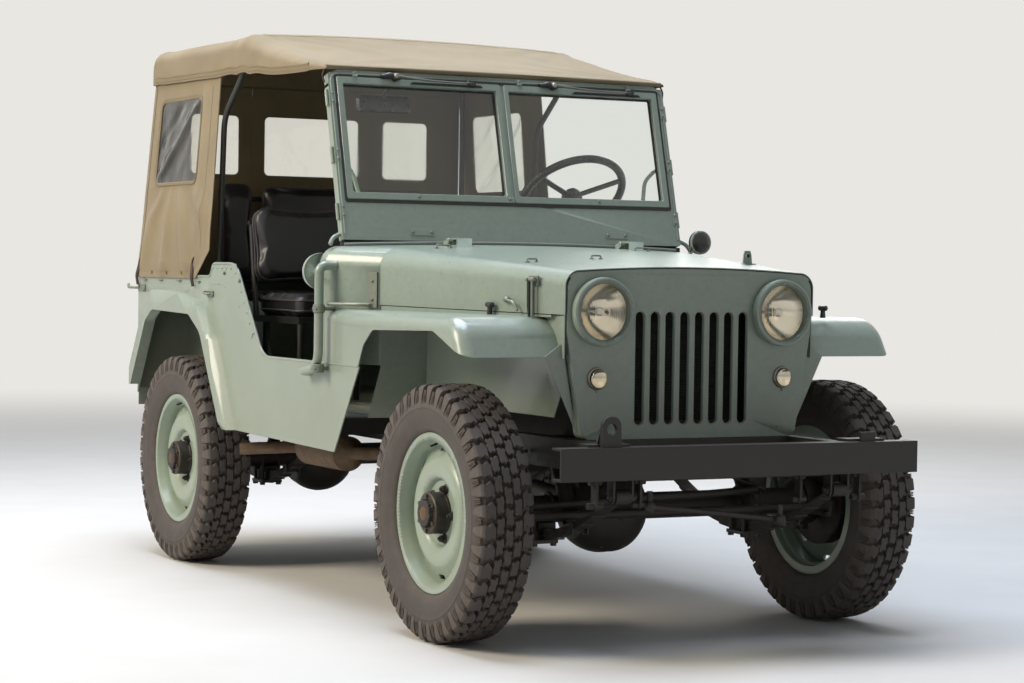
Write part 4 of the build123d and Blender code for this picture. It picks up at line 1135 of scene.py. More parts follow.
@dataclass
class BodyPanels:
    """Pressed steel of the tub, cowl, fenders, hood and grille, with the small fittings on them."""

    repeat: Repeater
    hood_front_half: float = 403.0
    hood_rear_half: float = 560.0
    hood_front_top: float = 1028.0
    hood_rear_top: float = 1086.0
    hood_back: float = 618.0
    crown: float = 12.0
    cap_z: float = 1032.0
    cap_y: float = 1550.0
    sill_z: float = 735.0
    door_back: float = 1300.0
    tub_top: float = 986.0
    ledge_z: float = 898.0
    nose_flare: float = 43.0

    def build(self) -> None:
        """Dresses the panels and adds their fittings."""
        for node in ("cowl", "front_fender_right", "front_fender_left", "side_panel_right",
                     "side_panel_left", "tail_panel", "grille", "dashboard"):
            refine(node, SAGE_ENAMEL)
        refine("hood", SAGE_ENAMEL, Body.HOOD)
        # The arches, floor and tank take the enamel darkened as painted shade
        for node in ("wheelhouse_right", "wheelhouse_left", "floor_pan", "fuel_tank"):
            refine(node, SHADED_INNER_ENAMEL)
        for node in ("mirrors", "grab_tubes"):
            refine(node, SAGE_ENAMEL)
        self._flare_fenders()
        self._hood_fittings()
        self._door_edges()
        self._side_fittings()
        self._flank_hardware()
        self._mirror_details()
        self._tub_pressings()

    def _along_hood(self, y: float) -> float:
        """Share of the way from the hood's front edge to its hinge."""
        return (y - GRILLE_Y) / (self.hood_back - GRILLE_Y)

    def _hood_half(self, y: float) -> float:
        """Half width of the hood at a place along the car."""
        return mix(self.hood_front_half, self.hood_rear_half, self._along_hood(y))

    def _hood_top(self, x: float, y: float) -> float:
        """Height of the hood's top.

        Args:
            x: place across.
            y: place along the car.

        Returns:
            The height there.
        """
        share = self._along_hood(y)
        high = mix(self.hood_front_top, self.hood_rear_top, share)
        return arch_point(self._hood_half(y), high, mix(45, 60, share), self.crown, x)

    def _hood_fittings(self) -> None:
        """Loops, catches and the hold-down bracket on the hood."""
        loops = Form()
        for x, y, wide in ((-368, 19, 15), (-135, 67, 15), (306, 560, 24), (-380, 560, 24)):
            z = self._hood_top(x, y)
            loops.rod([(x - wide, y, z - 1), (x - wide, y, z + 10), (x + wide, y, z + 10),
                       (x + wide, y, z - 1)], 7, 2.6)
            for side in SIDES:
                loops.spin([(6.5, -1), (6.5, 2.2), (3, 3.4), (0, 3.5)], (x + side * wide, y, z), UP, 14)
        loops.piece("hood_strap_loops", RUBBED_STEEL, Body.HOOD)
        x, y = 391.0, 90.0
        z = self._hood_top(x, y) - 2
        bracket = Form()
        bracket.prism([(-16, 0), (16, 0), (13, 30), (9, 42), (-9, 42), (-13, 30)], (x, y, z), ACROSS, UP, 5)
        bracket.prism([(-19, -20), (19, -20), (19, 9), (-19, 9)], (x, y, z + 1), ACROSS, ALONG, 3.4)
        bracket.spin([(8.5, -4), (8.5, 4), (5, 4), (5, -4)], (x, y - 5, z + 27), (0, -1, 0), 20, True)
        bracket.piece("hood_hold_down", SAGE_ENAMEL, Body.HOOD)
        # A dark plug in the bracket's eye: painted shade in the hole
        eye = Form().spin([(5.2, -1), (5.2, 0.6), (0, 0.6)], (x, y - 5, z + 27), (0, -1, 0), 20)
        eye.piece("hold_down_eye", BLACK_CORE_AND_PAINTED_HOLE_SHADE, Body.HOOD)
        self._hood_line()

    def _hood_line(self) -> None:
        """Crowned filler over the grille, the seal under the hood's lip and ledges along the fenders."""
        filler, seal, ledge = Form(), Form(), Form()
        rows = []
        for x in range(-388, 389, 8):
            top = self._hood_top(x, GRILLE_Y) - 5.5
            low = min(1008.0, top - 6)
            rows.append([(x, GRILLE_Y + 0.6, low), (x, GRILLE_Y + 12, low), (x, GRILLE_Y + 12, top),
                         (x, GRILLE_Y + 0.6, top)])
        filler.skin(rows)
        filler.piece("grille_crown_filler", SAGE_ENAMEL)
        side = [(-399, GRILLE_Y + 7, 908), (-399, GRILLE_Y + 7, 985), (-394, GRILLE_Y + 7, 1003)]
        rim = [(x, GRILLE_Y + 7, self._hood_top(x, GRILLE_Y) - 4.5) for x in range(-384, 385, 16)]
        seal.tube(side + rim + [(-x, y, z) for x, y, z in side[::-1]], 2.6, 8)
        seal.piece("grille_edge_seal", SEAL_RUBBER)
        rows = []
        for y in (-180, 612):
            near, far = -self._hood_half(y) + 14, -self._hood_half(y) + 0.5
            top = mix(906, 915, self._along_hood(y)) - 2.2
            rows.append([(near, y, self.ledge_z), (far, y, self.ledge_z), (far, y, top), (near, y, top)])
        ledge.skin(rows)
        ledge.prism([(236, 786), (216, 789), (190, 832), (150, 874), (100, 899), (100, 904), (236, 904)],
                    (-399, 0, 0), (0, -1, 0), UP, 2.4)
        ledge.both_sides()
        ledge.piece("fender_ledges", SAGE_ENAMEL)

    def _flare_fenders(self) -> None:
        """Widens the fenders' looks a little towards the nose, as they stand in the picture."""
        for name in ("front_fender_right_pressed", "front_fender_left_pressed"):
            for vert in bpy.data.objects[name].data.vertices:
                back = vert.co.y * 1000 - AXLE_Y
                share = clamped((620 - back) / 840)
                wide = clamped((abs(vert.co.x) * 1000 - 400) / 260)
                vert.co.x += math.copysign(self.nose_flare / 1000 * share * wide, vert.co.x)

    def _door_edges(self) -> None:
        """Rolled edge along the door opening and the tub's top."""
        form = Form()
        x = BODY_HALF - 2
        edge = [(x, 546, self.sill_z), (x, self.door_back, self.sill_z), (x, self.cap_y - 6, self.cap_z),
                (x, 1760, self.cap_z), (x, 1782, self.tub_top + 2), (x, TAIL_Y - 6, self.tub_top)]
        form.rod(edge, 55, 4.6, 10, steps=8)
        form.tube([(-600, TAIL_Y - 2, self.tub_top), (600, TAIL_Y - 2, self.tub_top)], 4.6, 10)
        form.both_sides()
        form.piece("rolled_door_edges", SAGE_ENAMEL)

    def _cap_curve(self, inset: float, count: int) -> list[Place]:
        """Points down the cap plate's front edge.

        Args:
            inset: how far inside the edge.
            count: how many points.

        Returns:
            Places on the right-hand side's face.
        """
        curve = rounded([(0, 1372 + inset, 806), (0, self.cap_y - 14 + inset * 0.8, self.cap_z - inset * 0.9),
                         (0, 1752, self.cap_z - inset)], 60, 14)
        lengths = [0.0]
        for a, b in zip(curve, curve[1:]):
            lengths.append(lengths[-1] + (b - a).length)
        found = []
        for i in range(count):
            goal = lengths[-1] * i / (count - 1)
            k = max(j for j in range(len(curve) - 1) if lengths[j] <= goal + 1e-6)
            span = lengths[k + 1] - lengths[k]
            spot = curve[k].lerp(curve[k + 1], (goal - lengths[k]) / span if span else 0)
            found.append((-BODY_HALF - 1.5, spot.y, spot.z))
        return found

    def _side_fittings(self) -> None:
        """Plates, rivets and hooks on the sides of the tub."""
        plate = Form()
        outline = [(self.cap_y - 12, self.cap_z - 6), (1758, self.cap_z - 6), (1758, 962), (1668, 962), (1640, 955),
                   (1600, 920), (1470, 815), (1400, 790), (1368, 812)]
        plate.prism([(-a, b) for a, b in outline], (-BODY_HALF + 0.5, 0, 0), (0, -1, 0), UP, 2.4)
        plate.both_sides()
        plate.piece("door_cap_plates", SAGE_ENAMEL)
        points = []
        for p in self._cap_curve(15, 12):
            points.append((p, (-1, 0, 0)))
            points.append(((-p[0], p[1], p[2]), ACROSS))
        self.repeat.heads("cap_plate_rivets", round_head(5.2, 3.2), SAGE_ENAMEL, points)
        hooks = Form()
        for side in SIDES:
            x = side * BODY_HALF
            # Catch behind the cap plate, for the curtain's strap
            hooks.box((min(x, x + side * 5), 1745, 920), (max(x, x + side * 5), 1800, 938))
            hooks.rod([(x + side * 4, 1756, 929), (x + side * 22, 1760, 929), (x + side * 24, 1788, 933),
                       (x + side * 10, 1800, 936)], 10, 4)
            # Rope hook at the rear corner
            hooks.box((min(x, x + side * 4), 2440, 928), (max(x, x + side * 4), 2512, 952))
            hooks.rod([(x + side * 3, 2500, 941), (x + side * 20, 2508, 941), (x + side * 24, 2560, 941),
                       (x + side * 18, 2578, 952)], 14, 5)
            # Footman loops for the curtain straps along the side
            for y in (1890, 2080, 2270, 2440):
                hooks.rod([(x, y - 14, 970), (x + side * 8, y - 12, 970), (x + side * 8, y + 12, 970),
                           (x, y + 14, 970)], 5, 2.2)
        hooks.piece("side_hooks", RUBBED_STEEL)
        bolts = [((side * (BODY_HALF + 4.5), y, z), (side, 0, 0)) for side in SIDES
                 for y, z in ((1750, 924), (1796, 934), (2448, 933), (2500, 948), (1500, 976), (1640, 1000))]
        self.repeat.heads("side_hook_bolts", bolt_head(5.0, 3.6), ZINC_STEEL, bolts)

    def _flank_hardware(self) -> None:
        """Hood catches, the strap bar and the grab tube's clamps on the flanks."""
        catches = Form()
        knobs = Form()
        for side in SIDES:
            # Knobbed post on the fender, further forward on the left
            x, y = (self._flank(side, 70, 13), 70) if side < 0 else (500.0, -150)
            knobs.tube([(x, y, 899), (x, y, 924)], [8.5, 6.0], 14)
            knobs.tube([(x, y + dy, z) for dy, z in ((-18, 925), (-14, 927), (14, 927), (18, 925))], [4, 8, 8, 4], 12)
            # Small bent lever on the hood's flank
            lever = [(self._flank(side, y, out), y, z)
                     for y, out, z in ((8, 1, 943), (4, 12, 944), (-40, 17, 936), (-56, 15, 914))]
            catches.rod(lever, 9, 4.4)
            catches.ball((self._flank(side, 6, 6), 6, 943), (9, 12, 9), 12)
            # Latch: a dark rod and a painted one from the hood down to an eye on the fender
            x = self._flank(side, -104, 12)
            knobs.tube([(x, -100, 1004), (x, -102, 925), (x, -104, 896)], [6.5, 6.5, 4.0], 12)
            catches.tube([(x, -118, 1000), (x, -120, 900)], 4.2)
            catches.prism([(-26, -12), (26, -12), (26, 14), (-26, 14)], (self._flank(side, -110, 0), -110, 996),
                          (0, side, 0), UP, 5)
            catches.tube([(x, -86, 1000), (x, -132, 1000)], 5.5)
            catches.rod([(x, -96, 896), (x, -98, 874), (x, -118, 872), (x, -121, 896)], 9, 3.8)
            catches.box((min(x, x - side * 16), -128, 868), (max(x, x - side * 16), -92, 874))
            # Clamp plate at the front of the cowl's flank, with a bar to the grab tube
            catches.skin([[(side * 563, 627, z), (side * 580, 657, z), (side * 585, 654, z), (side * 568, 624, z)]
                          for z in (906, 1012)])
            catches.rod([(side * 584, 640, 915), (side * 612, 660, 915), (side * 668, 758, 915)], 10, 5.5)
            for z in (900, 720):
                catches.tube([(side * 640, 770, z), (side * 700, 770, z)], 6)
                catches.spin([(18, -11), (18, 11), (15, 13), (13, -13)], (side * 692, 770, z), UP, 20, True)
        catches.piece("flank_catches", RUBBED_STEEL)
        knobs.piece("catch_knobs", PHENOLIC)
        points = [((side * 706, 770 + dy, z), (side, 0, 0)) for side in SIDES for z in (900, 720) for dy in (-8, 8)]
        points += [((side * 577, 639, z), (side * 0.87, -0.49, 0)) for side in SIDES for z in (930, 985)]
        self.repeat.heads("clamp_bolts", bolt_head(4.2, 4), ZINC_STEEL, points)

    def _flank(self, side: int, y: float, out: float) -> float:
        """Place across of the hood's flank, and so far out of it."""
        return side * (self._hood_half(y) + out)

    def _mirror_details(self) -> None:
        """Rim and screw of the disc mirror, and the round mirror on the cowl."""
        disc, cup_at = (-648, 862, 1012), (638, 741, 1122)
        rim = Form().spin([(55.5, -1), (56.5, 6), (55.5, 15), (52, 15), (52, 1)], (-648, 861, 1012), ALONG, 48, True)
        rim.spin([(7, 0), (7, -3), (4, -5), (0, -5)], disc, ALONG, 16)
        rim.piece("side_mirror_rim", SAGE_ENAMEL)
        Form().spin([(52, 14.2), (50, 14.8), (0, 15.2)], disc, ALONG, 40).piece("side_mirror_glass", CHROME)
        cup = Form().spin([(38.5, 16), (38.5, 8), (33, 1), (20, -7), (0, -10)], cup_at, ALONG, 40)
        cup.rod([(600, 750, 1086), (606, 750, 1112), cup_at], 16, 5.5)
        cup.piece("cowl_mirror_cup", PHENOLIC)
        Form().spin([(36.5, 15.6), (34, 16.4), (0, 16.8)], cup_at, ALONG, 36).piece("cowl_mirror_glass", CHROME)

    def _tub_pressings(self) -> None:
        """Long stiffening ribs pressed into the tail and the floor."""
        ribs = Form()
        for z in (640, 760, 880):
            outline = oblong(0, 0, 560, 26, 12.9)
            ribs.prism(outline, (300, TAIL_Y, z), ACROSS, UP, 3.2, 0.985)
        ribs.piece("tail_ribs", SAGE_ENAMEL)
        floor = Form()
        for x in range(-520, 521, 80):
            # The floor's ribs take the enamel darkened as painted shade
            floor.prism(oblong(0, 0, 26, 620, 12.9), (x, 1090, 575.6), ACROSS, ALONG, 4, 0.97)
        floor.piece("floor_ribs", SHADED_INNER_ENAMEL)


@dataclass
class FrontEnd:
    """Grille slots, headlights and marker lamps."""

    repeat: Repeater
    slots: int = 8
    pitch: float = 47.7
    slot_width: float = 30.0
    slot_low: float = 604.0
    slot_high: float = 916.0
    light_x: float = 290.0
    light_z: float = 915.0
    marker_x: float = 301.0
    marker_z: float = 733.0

    def build(self) -> None:
        """Builds the lips, the core behind them and the lamps."""
        self._slot_lips()
        self._core()
        refine("headlight_shells", SAGE_ENAMEL)
        self._headlights()
        self._markers()

    def _slot_lips(self) -> None:
        """Raised lips round the grille's slots."""
        lip = Form()
        middle = (self.slot_low + self.slot_high) / 2
        tall = self.slot_high - self.slot_low
        rows = []
        for grow, out in ((-1.2, 9.0), (-0.7, 0.4), (0.5, -1.5), (1.9, -1.7), (3.6, -0.8), (4.6, 0.5)):
            wide = self.slot_width + 2 * grow
            rows.append([(a, out, b) for a, b in oblong(0, 0, wide, tall + 2 * grow, wide / 2 - 0.1, 7)])
        lip.skin(rows, caps=False)
        made = self.repeat.make("grille_slot_lips", Pattern.IN_STEPS, lip, SAGE_ENAMEL, None, count=self.slots,
                                step=(self.pitch, 0, 0))
        first = (-(self.slots - 1) / 2 * self.pitch / 1000, (GRILLE_Y + AXLE_Y) / 1000, middle / 1000)
        made.data.transform(Matrix.Translation(first))
        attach(made, Body.CAR.value)

    def _core(self) -> None:
        """Radiator core: thin fins in front of a flat core block, between tanks and side posts."""
        tanks = Form()
        near, far = GRILLE_Y + 64, GRILLE_Y + 118
        tanks.box((-252, near, 925), (252, far, 996)).box((-252, near, 568), (252, far, 610))
        for x in (-247, 247):
            tanks.box((x - 7, near, 600), (x + 7, far, 930))
        made = tanks.piece("radiator_tanks", CHASSIS_BLACK)
        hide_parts("radiator")
        back = Form().box((-244, GRILLE_Y + 74, 606), (244, GRILLE_Y + 110, 928))
        back.piece("radiator_core", BLACK_CORE_AND_PAINTED_HOLE_SHADE)
        fin = Form().box((-238, -1, -0.5), (238, 3, 0.5))
        fins = self.repeat.make("radiator_fins", Pattern.IN_STEPS, fin, BLACK_CORE_AND_PAINTED_HOLE_SHADE, None, count=40, step=(0, 0, 7.9))
        fins.data.transform(Matrix.Translation((0, (GRILLE_Y + 71 + AXLE_Y) / 1000, 0.612)))
        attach(fins, Body.CAR.value)

    def _headlights(self) -> None:
        """Reflector, bulb, domed glass and rim of both headlights."""
        bowls, glass, rims, bulbs, caps = Form(), Form(), Form(), Form(), Form()
        front = GRILLE_Y - 30
        for side in SIDES:
            x = side * self.light_x
            here = (x, 0, self.light_z)
            curve = [(r, front + 76 - (r / 82.5) ** 2 * 52) for r in (12, 18, 26, 36, 48, 60, 70, 77, 82.5)]
            bowls.spin(curve, here, ALONG, 64)
            dome = [(r, front + 150 - math.sqrt(150 ** 2 - r * r)) for r in (83, 72, 58, 44, 28, 14, 0)]
            inner = [(r, place + 3.2) for r, place in dome[::-1]]
            inner[-1] = (83, dome[0][1] + 3.2)
            glass.spin(dome + inner, here, ALONG, 64, True)
            rims.spin([(82, front + 22), (82.5, front + 15), (84, front + 12.5), (86, front + 12), (86, front + 22)],
                      here, ALONG, 64, True)
            bulbs.ball((x, front + 50, self.light_z), (9, 12, 9), 18)
            caps.spin([(0, front + 32), (9, front + 32.5), (12, front + 35), (12.5, front + 42)], here, ALONG, 28)
            caps.tube([(x - 12, front + 42, self.light_z), (x - 20, front + 70, self.light_z)], 1.6)
            caps.tube([(x + 12, front + 42, self.light_z), (x + 20, front + 70, self.light_z)], 1.6)
        # Headlight reflectors, with warm patches as a painted reflection
        bowls.piece("headlight_reflectors", SILVERED_WITH_PAINTED_REFLECTION, wall=1.0)
        made = glass.piece("headlight_glasses", LAMP_GLASS)
        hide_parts("headlight_lenses")
        rims.piece("headlight_rings", SEAL_RUBBER)
        bulbs.piece("headlight_bulbs", DOME_GLASS)
        caps.piece("bulb_shields", CHROME)
        lips = Form()
        for side in SIDES:
            rows = [(93.2, -2), (94.5, -10), (94.2, -18), (92.4, -24.5), (89, -26.6), (85.8, -26), (84.6, -21)]
            lips.spin(rows, (side * self.light_x, GRILLE_Y, self.light_z), ALONG, 72)
        lips.piece("headlight_rims", SAGE_ENAMEL)

    def _markers(self) -> None:
        """Domed marker lamps in bright rims."""
        domes, rims = Form(), Form()
        for side in SIDES:
            here = (side * self.marker_x, GRILLE_Y, self.marker_z)
            domes.spin([(26.6, -6), (25.8, -13), (21.5, -19), (12.5, -22.2), (0, -23)], here, ALONG, 36)
            rims.spin([(31, 0), (31, -4.5), (29.5, -7.5), (27.4, -8.6), (26.2, -7), (26.2, -2)], here, ALONG,
                      40, True)
        made = domes.piece("marker_domes", DOME_GLASS)
        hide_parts("marker_lamps")
        rims.piece("marker_rims", ZINC_STEEL)
        backs = Form()
        for side in SIDES:
            backs.spin([(23, -4), (14, -2.6), (0, -2)], (side * self.marker_x, GRILLE_Y, self.marker_z), ALONG, 28)
        # Marker reflectors, with warm patches as a painted reflection
        backs.piece("marker_reflectors", SILVERED_WITH_PAINTED_REFLECTION)
        places = ((self.marker_x, self.marker_z - 36), (288, 593))
        screws = [((side * x, GRILLE_Y - 0.5, z), (0, -1, 0)) for x, z in places for side in SIDES]
        self.repeat.heads("grille_screws", round_head(4.0, 2.6), RUBBED_STEEL, screws)


@dataclass
class Windshield:
    """Sashes, seals, wipers and fittings on the raked screen frame."""

    repeat: Repeater
    foot_y: float = 820.0
    foot_z: float = 1106.2
    rake: float = 14.9
    front: float = 15.0
    sash_out: float = 573.0
    sash_in: float = 552.0
    pane_mid: float = 325.0
    sash_high: float = 392.0
    seal_half: float = 598.0

    def on(self, u: float, v: float, out: float) -> Place:
        """Turns a place on the screen into one on the car.

        Args:
            u: across.
            v: up along the screen.
            out: out of its middle plane, towards the front.

        Returns:
            Across, along and up.
        """
        lean = math.radians(self.rake)
        return (u, self.foot_y + v * math.sin(lean) - out * math.cos(lean),
                self.foot_z + v * math.cos(lean) + out * math.sin(lean))

    def _ring(self, form: Form, outer: list[Pair], inner: list[Pair], low: float, high: float, soft: float) -> None:
        """Adds a flat frame with softened front edges.

        Args:
            form: the form it is added to.
            outer: outer outline.
            inner: inner outline, with as many points.
            low: place of its back, out of the screen's middle.
            high: place of its front.
            soft: how far the front edges are softened.
        """
        rows = [(outer, low), (outer, high - soft), (self._towards(outer, inner, soft), high),
                (self._towards(inner, outer, soft), high), (inner, high - soft), (inner, low)]
        form.skin([[self.on(a, b, out) for a, b in outline] for outline, out in rows], along=True)

    def _towards(self, outline: list[Pair], other: list[Pair], by: float) -> list[Pair]:
        """Moves an outline towards another.

        Args:
            outline: the outline that moves.
            other: the one that stays, with as many points.
            by: how far.

        Returns:
            The moved outline.
        """
        moved = []
        for (a, b), (c, d) in zip(outline, other):
            run = math.hypot(c - a, d - b) or 1.0
            moved.append((a + (c - a) / run * by, b + (d - b) / run * by))
        return moved

    def build(self) -> None:
        """Builds the screen's fittings."""
        refine("windshield_frame", SAGE_ENAMEL)
        coat_node("windshield_glass", FLOAT_GLASS)
        self._sashes()
        self._foot_seal()
        self._wipers()
        self._inside()
        self._fasteners()

    def _sashes(self) -> None:
        """Two green sashes in a black gasket, with a felt strip between them."""
        sash, gasket, felt = Form(), Form(), Form()
        for side in SIDES:
            mid_out = side * (self.sash_out + 6) / 2
            mid_in = side * (self.sash_in + 23) / 2
            outer = oblong(mid_out, self.pane_mid, self.sash_out - 6, self.sash_high, 6)
            inner = oblong(mid_in, self.pane_mid, self.sash_in - 23, self.sash_high - 44, 5)
            self._ring(sash, outer, inner, -10, self.front + 4.5, 2.0)
            bead = oblong(mid_in, self.pane_mid, self.sash_in - 29, self.sash_high - 51, 4)
            self._ring(gasket, inner, bead, -6, 6.5, 1.0)
        around = oblong(0, self.pane_mid - 1, 2 * self.sash_out + 15, self.sash_high + 19, 9)
        within = oblong(0, self.pane_mid, 2 * self.sash_out - 4, self.sash_high - 4, 6)
        self._ring(gasket, around, within, -8, self.front + 2, 1.0)
        corners = Form()
        curve = [(555 + 45 * math.cos(math.radians(a)), 490 + 45 * math.sin(math.radians(a)))
                 for a in range(0, 91, 10)]
        corners.prism(curve + [(593, 535), (600, 528)], self.on(0, 0, -14.4), ACROSS, self._up(), 29)
        corners.both_sides()
        corners.piece("windshield_corners", SAGE_ENAMEL)
        felt.prism([(-6, 130), (6, 130), (6, 520), (-6, 520)], self.on(0, 0, 4), ACROSS, self._up(), 10)
        sash.piece("windshield_sashes", SAGE_ENAMEL)
        gasket.piece("windshield_gasket", SEAL_RUBBER)
        felt.piece("centre_post_strip", CANVAS_INSIDE)
        header = Form()
        header.rod([self.on(-592, 20, 16), self.on(-592, 531, 16), self.on(592, 531, 16),
                    self.on(592, 20, 16)], 30, 3.0, 8, steps=6)
        header.piece("windshield_bead", SAGE_ENAMEL)

    def _foot_seal(self) -> None:
        """Rubber between the screen's foot and the crowned cowl."""
        form, bead = Form(), Form()
        rows = []
        for i in range(41):
            x = -self.seal_half + 2 * self.seal_half * i / 40
            low = 1089 + 12 * (1 - (x / 600) ** 2)
            rows.append([(x, 808, low), (x, 832, low), (x, 832, 1105), (x, 808, 1104)])
        form.skin(rows)
        form.piece("screen_foot_seal", SEAL_RUBBER)
        path = [(x, 798 + abs(x / 600) ** 6 * 10, 1094 + 12 * (1 - (x / 600) ** 2)) for x in range(-596, 597, 24)]
        bead.tube(path, 6.5, 10)
        bead.piece("screen_foot_bead", GREY_BEAD)

    def _wipers(self) -> None:
        """Two wipers parked along the top of the panes."""
        motors, arms, blades = Form(), Form(), Form()
        for (u0, v0), (u1, v1) in (((-375, 525), (-107, 516)), ((184, 523), (471, 512))):
            motors.rod([self.on(u0 - 48, v0 + 1, 24), self.on(u0 - 20, v0 + 4, 26), self.on(u0 + 16, v0, 24)], 8,
                       [6, 9, 11, 11, 11, 11, 10, 8])
            motors.spin([(13, 0), (13, 16), (9, 22), (0, 23)], self.on(u0, v0, 14), self._normal(), 20)
            path = [self.on(mix(u0, u1, k / 6), mix(v0, v1, k / 6) - 5 * math.sin(math.pi * k / 6), 36 - k * 0.6)
                    for k in range(7)]
            arms.tube(path, [5.6, 5.0, 4.2, 3.6, 3.2, 3.0, 3.0], 10, flat=0.55)
            arms.spin([(8.5, 0), (8.5, 5), (6, 8), (0, 8.5)], self.on(u0, v0, 33), self._normal(), 16)
            for outline, place, thick in (([(-124, 0), (124, 0), (118, 4), (-118, 4)], (u1 - 92, v1 - 9, 24), 5),
                                          ([(-126, -4), (126, -4), (126, 0), (-126, 0)], (u1 - 92, v1 - 9, 26), 1.4),
                                          ([(-12, -7), (12, -7), (12, 9), (-12, 9)], (u1 - 4, v1 - 2, 24), 11)):
                blades.prism(outline, self.on(*place), ACROSS, self._up(), thick)
        motors.piece("wiper_motors", CHASSIS_BLACK)
        arms.piece("wiper_arms", ZINC_STEEL)
        blades.piece("wiper_blades", SEAL_RUBBER)

    def _normal(self) -> Place:
        """The screen's facing direction."""
        lean = math.radians(self.rake)
        return (0, -math.cos(lean), math.sin(lean))

    def _up(self) -> Place:
        """The direction up along the screen."""
        lean = math.radians(self.rake)
        return (0, math.sin(lean), math.cos(lean))

    def _inside(self) -> None:
        """Rear-view mirror and the two grab handles inside the screen."""
        mirror = Form()
        mirror.prism(oblong(-374, 470, 186, 54, 14), self.on(0, 0, -86), ACROSS, self._up(), 13, 0.94)
        mirror.rod([self.on(-374, 478, -84), self.on(-374, 500, -78), self.on(-374, 512, -16)], 16, 5.5)
        mirror.ball(self.on(-374, 474, -80), (10, 10, 10), 14)
        mirror.piece("inside_mirror", PHENOLIC)
        handles = Form()
        for side in SIDES:
            handles.rod([self.on(side * 556, 262, -14), self.on(side * 556, 262, -34),
                         self.on(side * 524, 232, -40), self.on(side * 508, 160, -40),
                         self.on(side * 508, 148, -14)], 30, 6.5, 12, steps=7)
        handles.piece("screen_grab_handles", WHEEL_ENAMEL)

    def _fasteners(self) -> None:
        """Studs, hinges, brackets and bolts on the screen frame."""
        plates, studs = Form(), []
        for u in (-510, -114, 65, 467):
            plates.prism(oblong(u, 530, 17, 26, 7), self.on(0, 0, self.front), ACROSS, self._up(), 3)
            studs.append((self.on(u, 534, self.front + 3), self._normal()))
            plates.tube([self.on(u - 7, 524, self.front + 8), self.on(u + 7, 524, self.front + 8)], 3.2)
        for u0, u1, v in ((-363, -299, 28), (330, 393, 31)):
            face = self.on(0, 0, self.front)
            plates.prism(oblong((u0 + u1) / 2, v, u1 - u0 + 18, 22, 4), face, ACROSS, self._up(), 2)
            studs += [(self.on(u, v, self.front + 2), self._normal()) for u in (u0, u1)]
        for side in SIDES:
            for v in (90, 270, 453):
                # Side hinge with its pin
                plates.tube([self.on(side * 605, v - 26, 4), self.on(side * 605, v + 26, 4)], 5.5)
                plates.prism(oblong(side * 591, v, 20, 44, 4), self.on(0, 0, self.front), ACROSS, self._up(), 2.4)
                studs += [(self.on(side * 590, v + dv, self.front + 2), self._normal()) for dv in (-13, 13)]
            plates.rod([self.on(side * 604, 20, 0), self.on(side * 628, 8, 4), self.on(side * 640, -14, 6)], 10, 7)
        studs += [(self.on(u, 141, self.front + 4.5), self._normal()) for u in (-330, -14, 310)]
        plates.piece("screen_fittings", SAGE_ENAMEL)
        self.repeat.heads("screen_studs", round_head(5.2, 4.0), RUBBED_STEEL, studs)
        feet = Form()
        for u in (-210, 366):
            y, z = 793.0, 1102.0
            feet.prism([(-15, -6), (15, -6), (15, 6), (-15, 6)], (u, y - 8, z - 1), ACROSS, ALONG, 2)
            feet.tube([(u - 13, y - 11, z + 4), (u + 13, y - 11, z + 4)], 3.6)
        feet.piece("cowl_catches", RUBBED_STEEL)


def lay_cloth(thing: Piece) -> None:
    """Gives a sheet a flat map in metres, for its weave.

    Args:
        thing: the sheet.
    """
    data = thing.data
    layer = data.uv_layers.new(name="cloth")
    for face in data.polygons:
        lean = [abs(c) for c in face.normal]
        main = lean.index(max(lean))
        for loop in face.loop_indices:
            co = data.vertices[data.loops[loop].vertex_index].co
            layer.data[loop].uv = ((co.y, co.z), (co.x, co.z), (co.x, co.y))[main]


def hit(centre: Pair, angle: float, outline: Sequence[Pair]) -> Pair:
    """Where a ray from inside an outline meets it.

    Args:
        centre: where the ray starts.
        angle: its direction.
        outline: the outline's corners.

    Returns:
        The meeting point.
    """
    dx, dy = math.cos(angle), math.sin(angle)
    best = None
    for (ax, ay), (bx, by) in zip(outline, list(outline[1:]) + [outline[0]]):
        ex, ey = bx - ax, by - ay
        cross = dx * ey - dy * ex
        if abs(cross) < 1e-9:
            continue
        run = ((ax - centre[0]) * ey - (ay - centre[1]) * ex) / cross
        share = ((ax - centre[0]) * dy - (ay - centre[1]) * dx) / cross
        if run > 0 and -1e-6 <= share <= 1 + 1e-6 and (best is None or run < best):
            best = run
    return (centre[0] + dx * best, centre[1] + dy * best)


